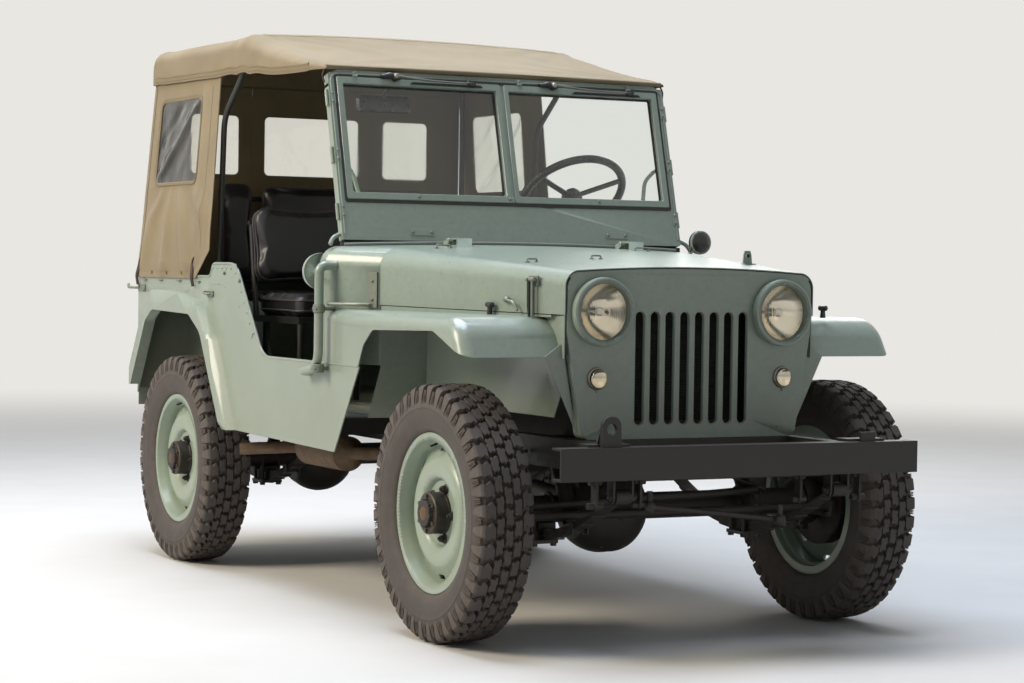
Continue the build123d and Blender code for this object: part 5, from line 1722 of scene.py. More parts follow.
@dataclass
class CanvasTop:
    """Canvas roof, side and rear curtains with clear windows, and their bows."""

    repeat: Repeater
    half: float = 622.0
    low: float = 1630.0
    front: float = 941.0
    bow: float = 1600.0
    rear_bow: float = 2430.0
    back: float = 2490.0
    back_round: float = 26.0
    curtain_x: float = 612.6
    curtain_low: float = 979.0
    curtain_high: float = 1684.0
    curtain_front: float = 1817.0
    curtain_lean: float = 53.0
    curtain_back: float = 2479.0
    curtain_corner: float = 1077.0
    window: Span = (1980.0, 2380.0, 1315.0, 1605.0)
    window_round: float = 30.0
    rear_y: float = 2481.5
    rear_half: float = 615.0
    rear_panes: Pair = (1360.0, 1580.0)

    def build(self) -> None:
        """Builds the canvas and dresses the bows."""
        self._bows()
        self._roof()
        for side in SIDES:
            self._side_curtain(side)
        self._rear_curtain()
        self._seams()
        self._straps()

    def _bows(self) -> None:
        """Two tube hoops that lie close under the cloth."""
        form = Form()
        x, radius = self.half - 20.6, 10.0
        for y, foot_y in ((self.bow, 1856.0), (self.rear_bow, 2429.0)):
            leg = rounded([(-x, foot_y, 986), (-x, mix(foot_y, y, 0.15), 1530), (-x, mix(foot_y, y, 0.8), 1660),
                           (-x, y, 1747)], 50)
            bend = [(-577 - 24.4 * math.cos(math.radians(a)), y, 1747 + 30.5 * math.sin(math.radians(a)))
                    for a in range(10, 91, 10)]
            half = [tuple(p) for p in leg] + bend
            crown = [(a, y, 1777.5 + 12 * (1 - (a / 577) ** 2)) for a in range(-550, 551, 50)]
            form.tube(half + crown + [(-a, b, c) for a, b, c in half[::-1]], radius, 14)
        made = form.piece("canvas_bows", BOW_PAINT)
        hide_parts("top_bows")

    def _section(self, y: float) -> Span:
        """The roof's cross section at a place along the car.

        Args:
            y: the place.

        Returns:
            Height of its lower edge, height, shoulder radius and crown.
        """
        # At the header, just behind it, at the main bow and at the back
        rows = ((self.front, 1636.2, 1645.2, 8, 5), (self.front + 57, 1636.2, 1658.2, 16, 8),
                (self.bow, 1664.0, 1791.0, 46, 13), (self.back, 1674.0, 1792.0, 42, 12))
        for a, b in zip(rows, rows[1:]):
            if y <= b[0]:
                share = (y - a[0]) / (b[0] - a[0])
                return tuple(mix(p, q, share) for p, q in zip(a[1:], b[1:]))
        return rows[-1][1:]

    def _slack(self, x: float, y: float, z: float) -> Vector:
        """How cloth hangs away from its drawn shape.

        Args:
            x: across.
            y: along.
            z: up.

        Returns:
            The shift, in millimetres.
        """
        inner = max(0.0, 1 - (x / 560) ** 2)
        sag = 0.0
        if 1000 < y < self.bow:
            sag = -9 * math.sin(math.pi * (y - 1000) / (self.bow - 1000)) * (0.8 + 0.2 * inner)
        elif self.bow < y < self.rear_bow:
            sag = -11 * math.sin(math.pi * (y - self.bow) / (self.rear_bow - self.bow)) * inner
        near = clamped((y - self.front - 12) / 90)
        # Tension creases run back from the header's corners and off each bow's shoulders
        creases = 0.0
        for cx, cy, reach in ((-600, 980, 620), (600, 980, 620), (-560, 1600, 420), (560, 1600, 420)):
            away = math.hypot(x - cx, y - cy)
            turn = math.atan2(x - cx, abs(y - cy) + 40)
            creases += 3.6 * math.sin(turn * 15 + cx * 0.01) * math.exp(-((away - reach * 0.4) / (reach * 0.45)) ** 2)
        wave = noise.noise(Vector((x / 110, y / 460, z / 120))) * 3.4
        wave += noise.noise(Vector((x / 45, y / 150, z / 60))) * 1.2
        rise = sag + creases * 0.8 + wave - 1.5
        # The cloth lies proud over each bow, and never sinks through it
        over = math.exp(-((y - self.bow) / 40) ** 2) + math.exp(-((y - self.rear_bow + 2) / 40) ** 2)
        rise += over * max(0.0, 3.0 - rise)
        return Vector((noise.noise(Vector((z / 60, y / 95, 3.1))) * 2.2 * near,
                       noise.noise(Vector((x / 120, z / 60, 7.7))) * 1.4 * near, rise * near))

    def _roof(self) -> None:
        """Builds the roof, its hem and the bands over its bows."""
        roof = self._roof_sheet()
        hem_piece = self._roof_hem()
        bands = self._bow_bands()

    def _roof_sheet(self) -> Piece:
        """The roof with its skirts and rear drop, one continuous sheet.

        Returns:
            The sheet.
        """
        form = Form()
        # Points up a skirt, round a shoulder and across the top
        skirt, arc, top = 8, 9, 54
        radius = self.back_round
        # Places along the car, and how far the rear edge's curve has dropped there
        stations = [(self.front + (self.back - radius - self.front) * i / 110, 0.0) for i in range(111)]
        for a in range(10, 91, 10):
            turn = math.radians(a)
            stations.append((self.back - radius + radius * math.sin(turn), radius * (1 - math.cos(turn))))
        rows = []
        for y, drop in stations:
            low, high, shoulder, crown = self._section(y)
            half = self.half - 16 * max(0.0, 1 - (y - self.front) / 90)
            flat = half - shoulder
            side = [(half, mix(low, high - shoulder - drop, k / skirt)) for k in range(skirt)]
            bend = [(flat + shoulder * math.cos(math.radians(a * 90 / arc)),
                     high - drop - shoulder * (1 - math.sin(math.radians(a * 90 / arc)))) for a in range(arc)]
            half_row = side + bend
            across = [(flat - 2 * flat * k / top, high - drop + crown * (1 - (1 - 2 * k / top) ** 2))
                      for k in range(top + 1)]
            full = half_row + across + [(-x, z) for x, z in half_row[::-1]]
            rows.append([Vector((x, y, z)) for x, z in full])
        form.skin([[p + self._slack(*p) for p in row] for row in rows], around=False, caps=False)
        edge = rows[-1][skirt:len(rows[-1]) - skirt]
        low = self._section(self.back)[0]
        fall = [[Vector((p.x, p.y, mix(low, p.z, k / skirt))) for p in edge] for k in range(skirt + 1)]
        form.skin([[p + self._slack(*p) for p in row] for row in fall], around=False, caps=False)
        roof = form.piece("canvas_roof_sheet", CANVAS, angle=60, wall=2.4)
        lay_cloth(roof)
        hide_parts("canvas_roof")
        return roof

    def _roof_hem(self) -> Piece:
        """The hem round the roof's lower edge and the roll over the windshield.

        Returns:
            The hem.
        """
        hem = Form()
        for side in SIDES:
            rings = []
            for y in range(1040, 2470, 14):
                foot = Vector((side * (self.half - 0.6), y, self._section(y)[0]))
                foot += self._slack(*foot)
                rings.append([foot + Vector((side * 1.4, 0, -1)), foot + Vector((side * 1.6, 0, 24)),
                              foot + Vector((side * -1.2, 0, 25)), foot + Vector((side * -3.0, 0, -1))])
            hem.skin(rings)
        back = []
        low = self._section(self.back)[0]
        for i in range(61):
            x = -(self.half - 14) + (2 * self.half - 28) * i / 60
            foot = Vector((x, self.back - 0.6, low)) + self._slack(x, self.back - 0.6, low)
            back.append([foot + Vector((0, 1.4, -1)), foot + Vector((0, 1.6, 24)), foot + Vector((0, -1.2, 25)),
                         foot + Vector((0, -3, -1))])
        hem.skin(back)
        hem.tube([(x, 946 + 3 * math.sin(x / 90), 1642.5 + 3 * (1 - (x / 604) ** 2))
                  for x in range(-604, 605, 16)], 7.5, 10)
        hem_piece = hem.piece("canvas_roof_hem", CANVAS_INSIDE)
        lay_cloth(hem_piece)
        return hem_piece

    def _bow_bands(self) -> Piece:
        """Bands sewn on the roof over both bows.

        Returns:
            The bands.
        """
        band = Form()
        for y in (self.bow, self.rear_bow - 5):
            rings = []
            for k in range(61):
                x = -550 + 1100 * k / 60
                spots = []
                for place in (y - 22, y, y + 22):
                    _, high, shoulder, crown = self._section(place)
                    spot = Vector((x, place, high + crown * (1 - (x / (self.half - shoulder)) ** 2)))
                    spots.append(spot + self._slack(*spot))
                rings.append([spot + Vector((0, 0, 1.1)) for spot in spots]
                             + [spot - Vector((0, 0, 1.5)) for spot in spots[::-1]])
            band.skin(rings)
        bands = band.piece("canvas_bow_bands", CANVAS, angle=50)
        lay_cloth(bands)
        return bands

    def _hang(self, y: float, z: float) -> float:
        """How far a curtain billows outwards.

        Args:
            y: place along it.
            z: height.

        Returns:
            The shift, in millimetres, never inwards.
        """
        y0, y1, z0, _ = self.window
        middle = (y0 + y1) / 2
        front = self.curtain_front + max(0.0, (self.curtain_corner - z) * 1.3)
        ends = clamped((z - self.curtain_low) / 50) * clamped((self.curtain_high - z) / 60)
        ends *= clamped((y - front) / 70, 0.12) * clamped((self.curtain_back - y) / 60, 0.12)
        below = clamped((z0 - z) / 110)
        turn = math.atan2(y - middle - 30, z0 + 130 - z)
        folds = 0.5 + 0.5 * math.sin(turn * 12.5 + 1.1 + 0.8 * noise.noise(Vector((y / 160, z / 160, 2.0))))
        sway = 0.5 + 0.5 * noise.noise(Vector((y / 85, z / 330, 5.0)))
        pull = math.exp(-((y - self.curtain_front - 128) / 26) ** 2) * clamped((z - 1060) / 80)
        return ends * (16.0 * below * folds ** 2.2 + 5.0 * sway + 3.0 * pull)

    def _cloth_at(self, side: int, y: float, z: float, off: float = 0.0) -> Vector:
        """Place of a point of a side curtain, which leans outwards to lie over the tub's edge.

        Args:
            side: -1 for the right of the car, 1 for the left.
            y: place along it.
            z: height.
            off: how far off the cloth.

        Returns:
            Across, along and up.
        """
        down = clamped((self.curtain_high - z) / (self.curtain_high - self.curtain_low))
        back = clamped((y - 2250) / 230)
        out = self.curtain_x + self.curtain_lean * down + self._hang(y, z) + off
        return Vector((side * out, y + 34 * down * back, z))

    def _patch(self, form: Form, outer: list[Pair], pane: Span, radius: float,
               place: Callable[[float, float], Vector], rows: int = 26, count: int = 168) -> None:
        """Adds a sheet with one round-cornered window.

        Args:
            form: the form it is added to.
            outer: the sheet's corners.
            pane: the window's low and high, along and up.
            radius: its corner radius.
            place: turns flat places into the car's.
            rows: rows from the window to the edge.
            count: points round the window.
        """
        a0, a1, b0, b1 = pane
        centre = ((a0 + a1) / 2, (b0 + b1) / 2)
        hole = around_pane(pane, 0, radius)
        angles = sorted({round(math.tau * i / count, 5) for i in range(count)}
                        | {round(math.atan2(b - centre[1], a - centre[0]) % math.tau, 5) for a, b in outer + hole})
        inner = [hit(centre, angle, hole) for angle in angles]
        edge = [hit(centre, angle, outer) for angle in angles]
        form.skin([[place(mix(p[0], q[0], k / rows), mix(p[1], q[1], k / rows)) for p, q in zip(inner, edge)]
                   for k in range(rows + 1)], caps=False)

    def _binding(self, form: Form, pane: Span, radius: float, wide: float,
                 place: Callable[[float, float, float], Vector]) -> None:
        """Adds the stitched border round a window.

        Args:
            form: the form it is added to.
            pane: the window's low and high, along and up.
            radius: its corner radius.
            wide: the border's width.
            place: turns a flat place and a height off the cloth into the car's.
        """
        # Outside the window's edge and off the cloth, from the inner edge to the outer
        section = ((-2, -1.2), (-2, 2.2), (1, 3.0), (wide - 1, 3.0), (wide, 1.0))
        rows = [divided(around_pane(pane, grow, radius + grow), 14) for grow, _ in section]
        least = min(len(row) for row in rows)
        spread = [[row[int(k * len(row) / least)] for k in range(least)] for row in rows]
        form.skin([[place(a, b, off) for a, b in row] for row, (_, off) in zip(spread, section)], caps=False)

    def _side_curtain(self, side: int) -> None:
        """One side curtain with its window, border, front hem and clear pane.

        Args:
            side: -1 for the right of the car, 1 for the left.
        """
        word = "right" if side < 0 else "left"
        front, corner, foot = self.curtain_front, self.curtain_front - 22, self.curtain_front + 96
        bend, back, low, high = self.curtain_corner, self.curtain_back, self.curtain_low, self.curtain_high
        outer = [(front, high), (corner, bend), (foot, low), (back, low), (back, high)]

        def place(y: float, z: float, off: float = 0.0) -> Vector:
            """Sets a flat place on the hanging cloth."""
            return self._cloth_at(side, y, z, off)

        sheet = Form()
        self._patch(sheet, outer[::-1], self.window, self.window_round, place)
        curtain = sheet.piece(f"side_curtain_{word}", CANVAS, angle=60, wall=1.8, smooth=1)
        lay_cloth(curtain)
        if side < 0:
            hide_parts("side_curtains")
        trim = Form()
        self._binding(trim, self.window, self.window_round, 11, place)
        # Ends of each edge, and which way its hem is folded in
        edges_in = (((front + 1, high - 20), (corner, bend), (1, 0)), ((corner, bend), (foot, low), (0.6, 0.8)),
                    ((foot, low), (back - 1, low), (0, 1)), ((back - 1, low), (back - 1, high - 20), (-1, 0)))
        for p, q, lean in edges_in:
            steps = max(2, int(math.dist(p, q) / 16))
            rings = []
            for k in range(steps + 1):
                y, z = mix(p[0], q[0], k / steps), mix(p[1], q[1], k / steps)
                rings.append([place(y, z, -1.4), place(y, z, 1.9), place(y + lean[0] * 22, z + lean[1] * 22, 1.9),
                              place(y + lean[0] * 22, z + lean[1] * 22, -0.4)])
            trim.skin(rings)
        edges = trim.piece(f"side_curtain_border_{word}", CANVAS, angle=50)
        lay_cloth(edges)
        y0, y1, z0, z1 = self.window
        clear = Form()
        rows = []
        for i in range(57):
            row = []
            for k in range(45):
                y, z = mix(y0 - 8, y1 + 8, i / 56), mix(z0 - 8, z1 + 8, k / 44)
                slant = (y - y0) / (y1 - y0) + (z - z0) / (z1 - z0) - 1.0
                crease = 2.4 * math.exp(-(slant / 0.11) ** 2) - 0.9 * math.exp(-((slant - 0.42) / 0.08) ** 2)
                crease += 0.45 * noise.noise(Vector((y / 60 + z / 60, (z - y) / 240, 1.0)))
                # The vinyl lies flat along its stitched edge
                inside = min(1.0, min(y - y0 + 8, y1 + 8 - y, z - z0 + 8, z1 + 8 - z) / 40)
                row.append(place(y, z, -0.2 + (4.4 * crease - 1.0) * inside))
            rows.append(row)
        clear.skin(rows, around=False, caps=False)
        clear.piece(f"side_window_{word}", CLEAR_VINYL, angle=60, wall=0.7)

    def _rear_curtain(self) -> None:
        """The rear curtain: three panels, each with a window."""
        sheet, trim, clear = Form(), Form(), Form()
        pane_low, pane_high = self.rear_panes
        seam, half = 240.0, self.rear_half
        panels = ((-half, -seam, -478.0, -290.0), (-seam, seam, -191.0, 191.0), (seam, half, 290.0, 478.0))

        def place(x: float, z: float, off: float = 0.0) -> Vector:
            """Sets a flat place on the hanging cloth.

            Args:
                x: across.
                z: height.
                off: how far off the cloth.

            Returns:
                Across, along and up.
            """
            loose = clamped((z - self.curtain_low) / 60) * clamped((self.curtain_high - z) / 60)
            billow = loose * (3.4 * (0.5 + 0.5 * noise.noise(Vector((x / 90, z / 340, 9.0))))
                              + 4.0 * clamped((pane_low - z) / 120) * (0.5 + 0.5 * math.sin(x / 46)) ** 2)
            return Vector((x, self.rear_y + billow + off, z))

        for x0, x1, w0, w1 in panels:
            pane = (w0, w1, pane_low, pane_high)
            self._patch(sheet, [(x0, self.curtain_low), (x1, self.curtain_low), (x1, self.curtain_high),
                                (x0, self.curtain_high)], pane, 20, place, rows=16, count=112)
            self._binding(trim, pane, 20, 15, place)
            clear.skin([[place(mix(w0 - 6, w1 + 6, i / 16), mix(pane_low - 6, pane_high + 6, k / 12), -0.6)
                         for k in range(13)] for i in range(17)], around=False, caps=False)
        for x in (-seam, seam):
            trim.skin([[place(x - 9, z, -0.6), place(x - 9, z, 1.8), place(x + 9, z, 1.8), place(x + 9, z, -0.6)]
                       for z in range(990, 1660, 18)])
        curtain = sheet.piece("rear_curtain_sheet", CANVAS, angle=60, wall=1.8, smooth=1)
        lay_cloth(curtain)
        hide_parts("rear_curtain")
        edges = trim.piece("rear_curtain_border", CANVAS_INSIDE, angle=50)
        lay_cloth(edges)
        clear.piece("rear_windows", CLEAR_VINYL, angle=60, wall=0.7)

    def _seams(self) -> None:
        """Stitches along the roof's hems, round the side windows' borders and down the side curtains."""
        lines = []
        for side in SIDES:
            for up in (7, 20):
                run = []
                for y in range(1045, 2470, 20):
                    p = Vector((side * (self.half - 0.6), y, self._section(y)[0]))
                    run.append(p + self._slack(*p) + Vector((side * 1.9, 0, up)))
                lines.append(run)
            for grow in (3, 8):
                border = divided(around_pane(self.window, grow, self.window_round + grow), 25)
                lines.append([self._cloth_at(side, y, z, 3.3) for y, z in border])
            # Long seam down the curtain, behind its front edge
            lines.append([self._cloth_at(side, self.curtain_front + 64, z, 1.0) for z in range(1090, 1640, 16)])
        stitch = Form().tube([(0, 0, -2.4), (0, 0, 2.4)], 0.6, 6)
        self.repeat.make("canvas_stitches", Pattern.ALONG_LINE, stitch, THREAD, Body.CAR, line=lines, spacing=7.5)

    def _straps(self) -> None:
        """Leather straps, laces and grommets along the curtains' foot and at the header's ends."""
        strap, metal = Form(), []
        for side in SIDES:
            x = side * (self.curtain_x + 51)
            for y, lean in ((1938, -14), (2490, 10)):
                path = [(x, y, 1046), (x + side * 7, y + lean * 0.3, 1010), (x + side * 12, y + lean * 0.8, 986),
                        (side * 669, y + lean, 952)]
                strap.rod(path, 18, 6.0, 8, flat=0.35)
                strap.tube([(x + side * 3, y - 10, 1052), (x + side * 7, y + 4, 1020)], 2.2, 8)
            strap.rod([(side * 600, 956, 1640), (side * 612, 956, 1618), (side * 606, 950, 1594)], 8, 3.0, 8)
            for y in (2040, 2190, 2340):
                metal.append((self._cloth_at(side, y, 998, 2.4), (side, 0, 0)))
        strap.piece("curtain_straps", STRAP_LEATHER)
        ring = Form().spin([(6.0, -0.4), (5.8, 0.8), (4.2, 1.3), (3.0, 0.4), (0, 0.2)], ORIGIN, UP, 14)
        self.repeat.heads("curtain_grommets", ring, BRASS, metal)


@dataclass
class Seats:
    """Stuffed seats on their tube frames."""

    foot: float = 950.0
    voxel_mm: float = 6.0
    steps: int = 20
    slip_m: float = 0.003

    def build(self) -> None:
        """Builds the front pair and the rear bench."""
        refine("seat_frames", CHASSIS_BLACK)
        level = Matrix.Identity(4)
        cushion = self._pad("front_cushion_right", (-565, 1265, 862), (-170, 1655, 935), level, 46, 17)
        self._mirrored(cushion, "front_cushion_left")
        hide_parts("seat_cushions")
        back = self._pad("front_back_right", (-565, 0, 0), (-170, 285, 65), self._lean(1680, 10), 62, 19)
        self._mirrored(back, "front_back_left")
        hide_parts("seat_backs")
        bench = self._pad("rear_cushion", (-430, 1940, 862), (430, 2310, 935), level, 40, 16)
        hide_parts("rear_seat_cushion")
        self._pad("rear_back_right", (-430, 0, 0), (-282, 385, 55), self._lean(2345, 5), 46, 13)
        rest = self._pad("rear_back", (-270, 0, 0), (430, 385, 55), self._lean(2345, 5), 52, 15)
        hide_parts("rear_seat_back")

    def _lean(self, y: float, degrees: float) -> Matrix:
        """Frame of a seat back: across, up its face, and forwards out of it."""
        c, s = math.cos(math.radians(degrees)), math.sin(math.radians(degrees))
        return Matrix(((1, 0, 0, 0), (0, s, -c, y), (0, c, s, self.foot), (0, 0, 0, 1)))

    def _pad(self, name: str, low: Place, high: Place, turn: Matrix, corner: float, cap: float) -> Piece:
        """Stuffs one pad by a cloth simulation and sews its welts.

        Args:
            name: the pad's name.
            low: its lowest corner.
            high: its highest corner.
            turn: its place on the car.
            corner: radius of its four corners.
            cap: how far a point may swell.

        Returns:
            The pad.
        """
        inset = 11.0
        (x0, y0, z0), (x1, y1, z1) = low, high
        outline = oblong((x0 + x1) / 2, (y0 + y1) / 2, x1 - x0 - 2 * inset, y1 - y0 - 2 * inset, corner - inset, 7)
        rows = []
        for up, shrink in ((z0 + 9, 10), (z0 + 11, 4), (z0 + 16, 0), (z1 - 19, 0), (z1 - 13, 3), (z1 - 10, 12)):
            rows.append([Vector((a - shrink * (1 if a > (x0 + x1) / 2 else -1),
                                 b - shrink * (1 if b > (y0 + y1) / 2 else -1), up)) for a, b in outline])
        form = Form().skin(rows)
        made = form.mesh(name)
        made.transform(Matrix.Scale(MM, 4))
        pad = in_scene(name, made)
        self._swell(pad, cap / 1000, Vector(low) / 1000, Vector(high) / 1000)
        place = TO_CAR @ turn @ Matrix.Scale(1000, 4)
        surface = BVHTree.FromObject(pad, bpy.context.evaluated_depsgraph_get())
        welts = Form()
        for up in (z1 - 14, z0 + 15):
            path = []
            for x, y in divided(oblong((x0 + x1) / 2, (y0 + y1) / 2, x1 - x0 - 4, y1 - y0 - 4, corner, 9), 22):
                spot = Vector((x, y, up))
                found = surface.find_nearest(spot / 1000)
                path.append(found[0] * 1000 + found[1] * 1.2 if found[0] else spot)
            for _ in range(3):
                path = [(path[i - 1] + path[i] * 2 + path[(i + 1) % len(path)]) / 4 for i in range(len(path))]
            welts.tube(path, 3.4, 8, loop=True)
        welts.move(turn)
        welts.piece(name + "_welts", VINYL_WELT)
        pad.data.transform(place)
        dress(pad, SEAT_VINYL, angle=75)
        return pad

    def _swell(self, pad: Piece, cap: float, low: Vector, high: Vector) -> None:
        """Blows a pad up as cloth, holds its points within a cap and smooths it.

        Args:
            pad: the pad, in its own frame.
            cap: how far a point may move.
            low: lowest corner that it may reach.
            high: highest corner.
        """
        remesh = pad.modifiers.new("stuffing_grid", "REMESH")
        remesh.mode = "VOXEL"
        remesh.voxel_size = self.voxel_mm / 1000
        settle(pad)
        start = [vert.co.copy() for vert in pad.data.vertices]
        cloth = pad.modifiers.new("cover", "CLOTH")
        cloth.settings.quality = 5
        cloth.settings.mass = 0.3
        cloth.settings.use_pressure = True
        cloth.settings.uniform_pressure_force = 4.0
        cloth.settings.effector_weights.gravity = 0.0
        cloth.settings.tension_stiffness = 12.0
        cloth.settings.compression_stiffness = 12.0
        cloth.settings.bending_stiffness = 0.6
        cloth.collision_settings.use_collision = False
        for frame_number in range(1, self.steps + 1):
            bpy.context.scene.frame_set(frame_number)
        swollen = pad.evaluated_get(bpy.context.evaluated_depsgraph_get()).to_mesh()
        ends = [vert.co.copy() for vert in swollen.vertices]
        pad.modifiers.clear()
        for vert, here, there in zip(pad.data.vertices, start, ends):
            shift = there - here
            if shift.length > cap:
                shift = shift.normalized() * cap
            moved = here + shift
            vert.co = [clamped(c, a - self.slip_m, b + self.slip_m) for c, a, b in zip(moved, low, high)]
        bpy.context.scene.frame_set(1)
        soften = pad.modifiers.new("soften", "SMOOTH")
        soften.factor = 0.5
        soften.iterations = 6
        finer = pad.modifiers.new("finer", "SUBSURF")
        finer.levels = finer.render_levels = 1
        settle(pad)

    def _mirrored(self, pad: Piece, name: str) -> None:
        """Makes the other side's pad and welts.

        Args:
            pad: the right-hand pad.
            name: the new pad's name.
        """
        for suffix, finish in (("", SEAT_VINYL), ("_welts", VINYL_WELT)):
            bm = bmesh.new()
            bm.from_mesh(bpy.data.objects[pad.name + suffix].data)
            bm.transform(Matrix.Scale(-1, 4, ACROSS))
            bmesh.ops.recalc_face_normals(bm, faces=bm.faces)
            made = bpy.data.meshes.new(name + suffix)
            bm.to_mesh(made)
            bm.free()
            other = dress(in_scene(name + suffix, made), finish, angle=75)


@dataclass
class Cab:
    """Steering wheel, levers, pedals and dashboard instruments."""

    repeat: Repeater
    wheel: Place = (330.0, 1050.0, 1255.0)
    tilt: float = 48.0
    dash_y: float = 824.0

    def build(self) -> None:
        """Dresses the controls and adds the instruments."""
        refine("steering_wheel", PHENOLIC, Body.HANDWHEEL, 40)
        refine("steering_column", CHASSIS_BLACK)
        refine("floor_controls", OILY_IRON)
        self._controls()
        self._gauges()
        Form().rod([(-520, 826, 1040), (-520, 862, 1040), (-360, 862, 1040), (-360, 826, 1040)], 18, 8).piece(
            "dash_grab_handle", SAGE_ENAMEL)

    def _controls(self) -> None:
        """The hand wheel's button, and the levers' knobs and boots."""
        lean = math.radians(self.tilt)
        up = Vector((0, math.cos(lean), math.sin(lean)))
        hub = Vector(self.wheel) + up * 24
        boss = Form().spin([(33, -2), (31, 5), (24, 9), (0, 11)], hub, up, 28)
        boss.spin([(14, 8), (13, 14), (9, 16), (0, 17)], hub, up, 24)
        boss.piece("horn_button", PHENOLIC, Body.HANDWHEEL)
        knobs, boots = Form(), Form()
        for x, y, z in ((0, 1090, 985), (-70, 1000, 800), (-110, 1000, 800)):
            knobs.ball((x, y, z), (19, 19, 21), 18)
            boots.spin([(40, 0), (38, 6), (28, 14), (32, 20), (22, 28), (12, 38)], (x, 962, 576), (0, 0.2, 1), 24)
        knobs.piece("lever_knobs", PHENOLIC)
        boots.piece("lever_boots", SEAL_RUBBER)

    def _gauges(self) -> None:
        """Round gauges on the dashboard, with marks on their faces."""
        dials, faces, marks = Form(), Form(), []
        for x, z, r in ((60, 1010, 44), (-30, 1030, 24), (-30, 978, 24), (150, 1030, 24), (150, 978, 24)):
            here = (x, self.dash_y, z)
            dials.spin([(r + 4, 0), (r + 5, 5), (r + 1, 8), (r - 1, 3)], here, ALONG, 32, True)
            faces.spin([(r, 3), (0, 3.4)], here, ALONG, 32)
            for k in range(9):
                a = math.radians(-120 + 30 * k)
                marks.append(((x + math.sin(a) * r * 0.8, self.dash_y + 3.6, z + math.cos(a) * r * 0.8), ALONG))
        dials.piece("gauge_rims", CHROME)
        faces.piece("gauge_faces", PHENOLIC)
        dot = Form().prism(circle(0, 0, 2.2, 8), ORIGIN, ACROSS, ALONG, 0.6)
        self.repeat.heads("gauge_marks", dot, GREY_BEAD, marks)


class Corner(Enum):
    """The wheels, by the ending of their nodes' names."""

    FRONT_RIGHT = "front_right"
    FRONT_LEFT = "front_left"
    REAR_RIGHT = "rear_right"
    REAR_LEFT = "rear_left"
    SPARE = "spare"


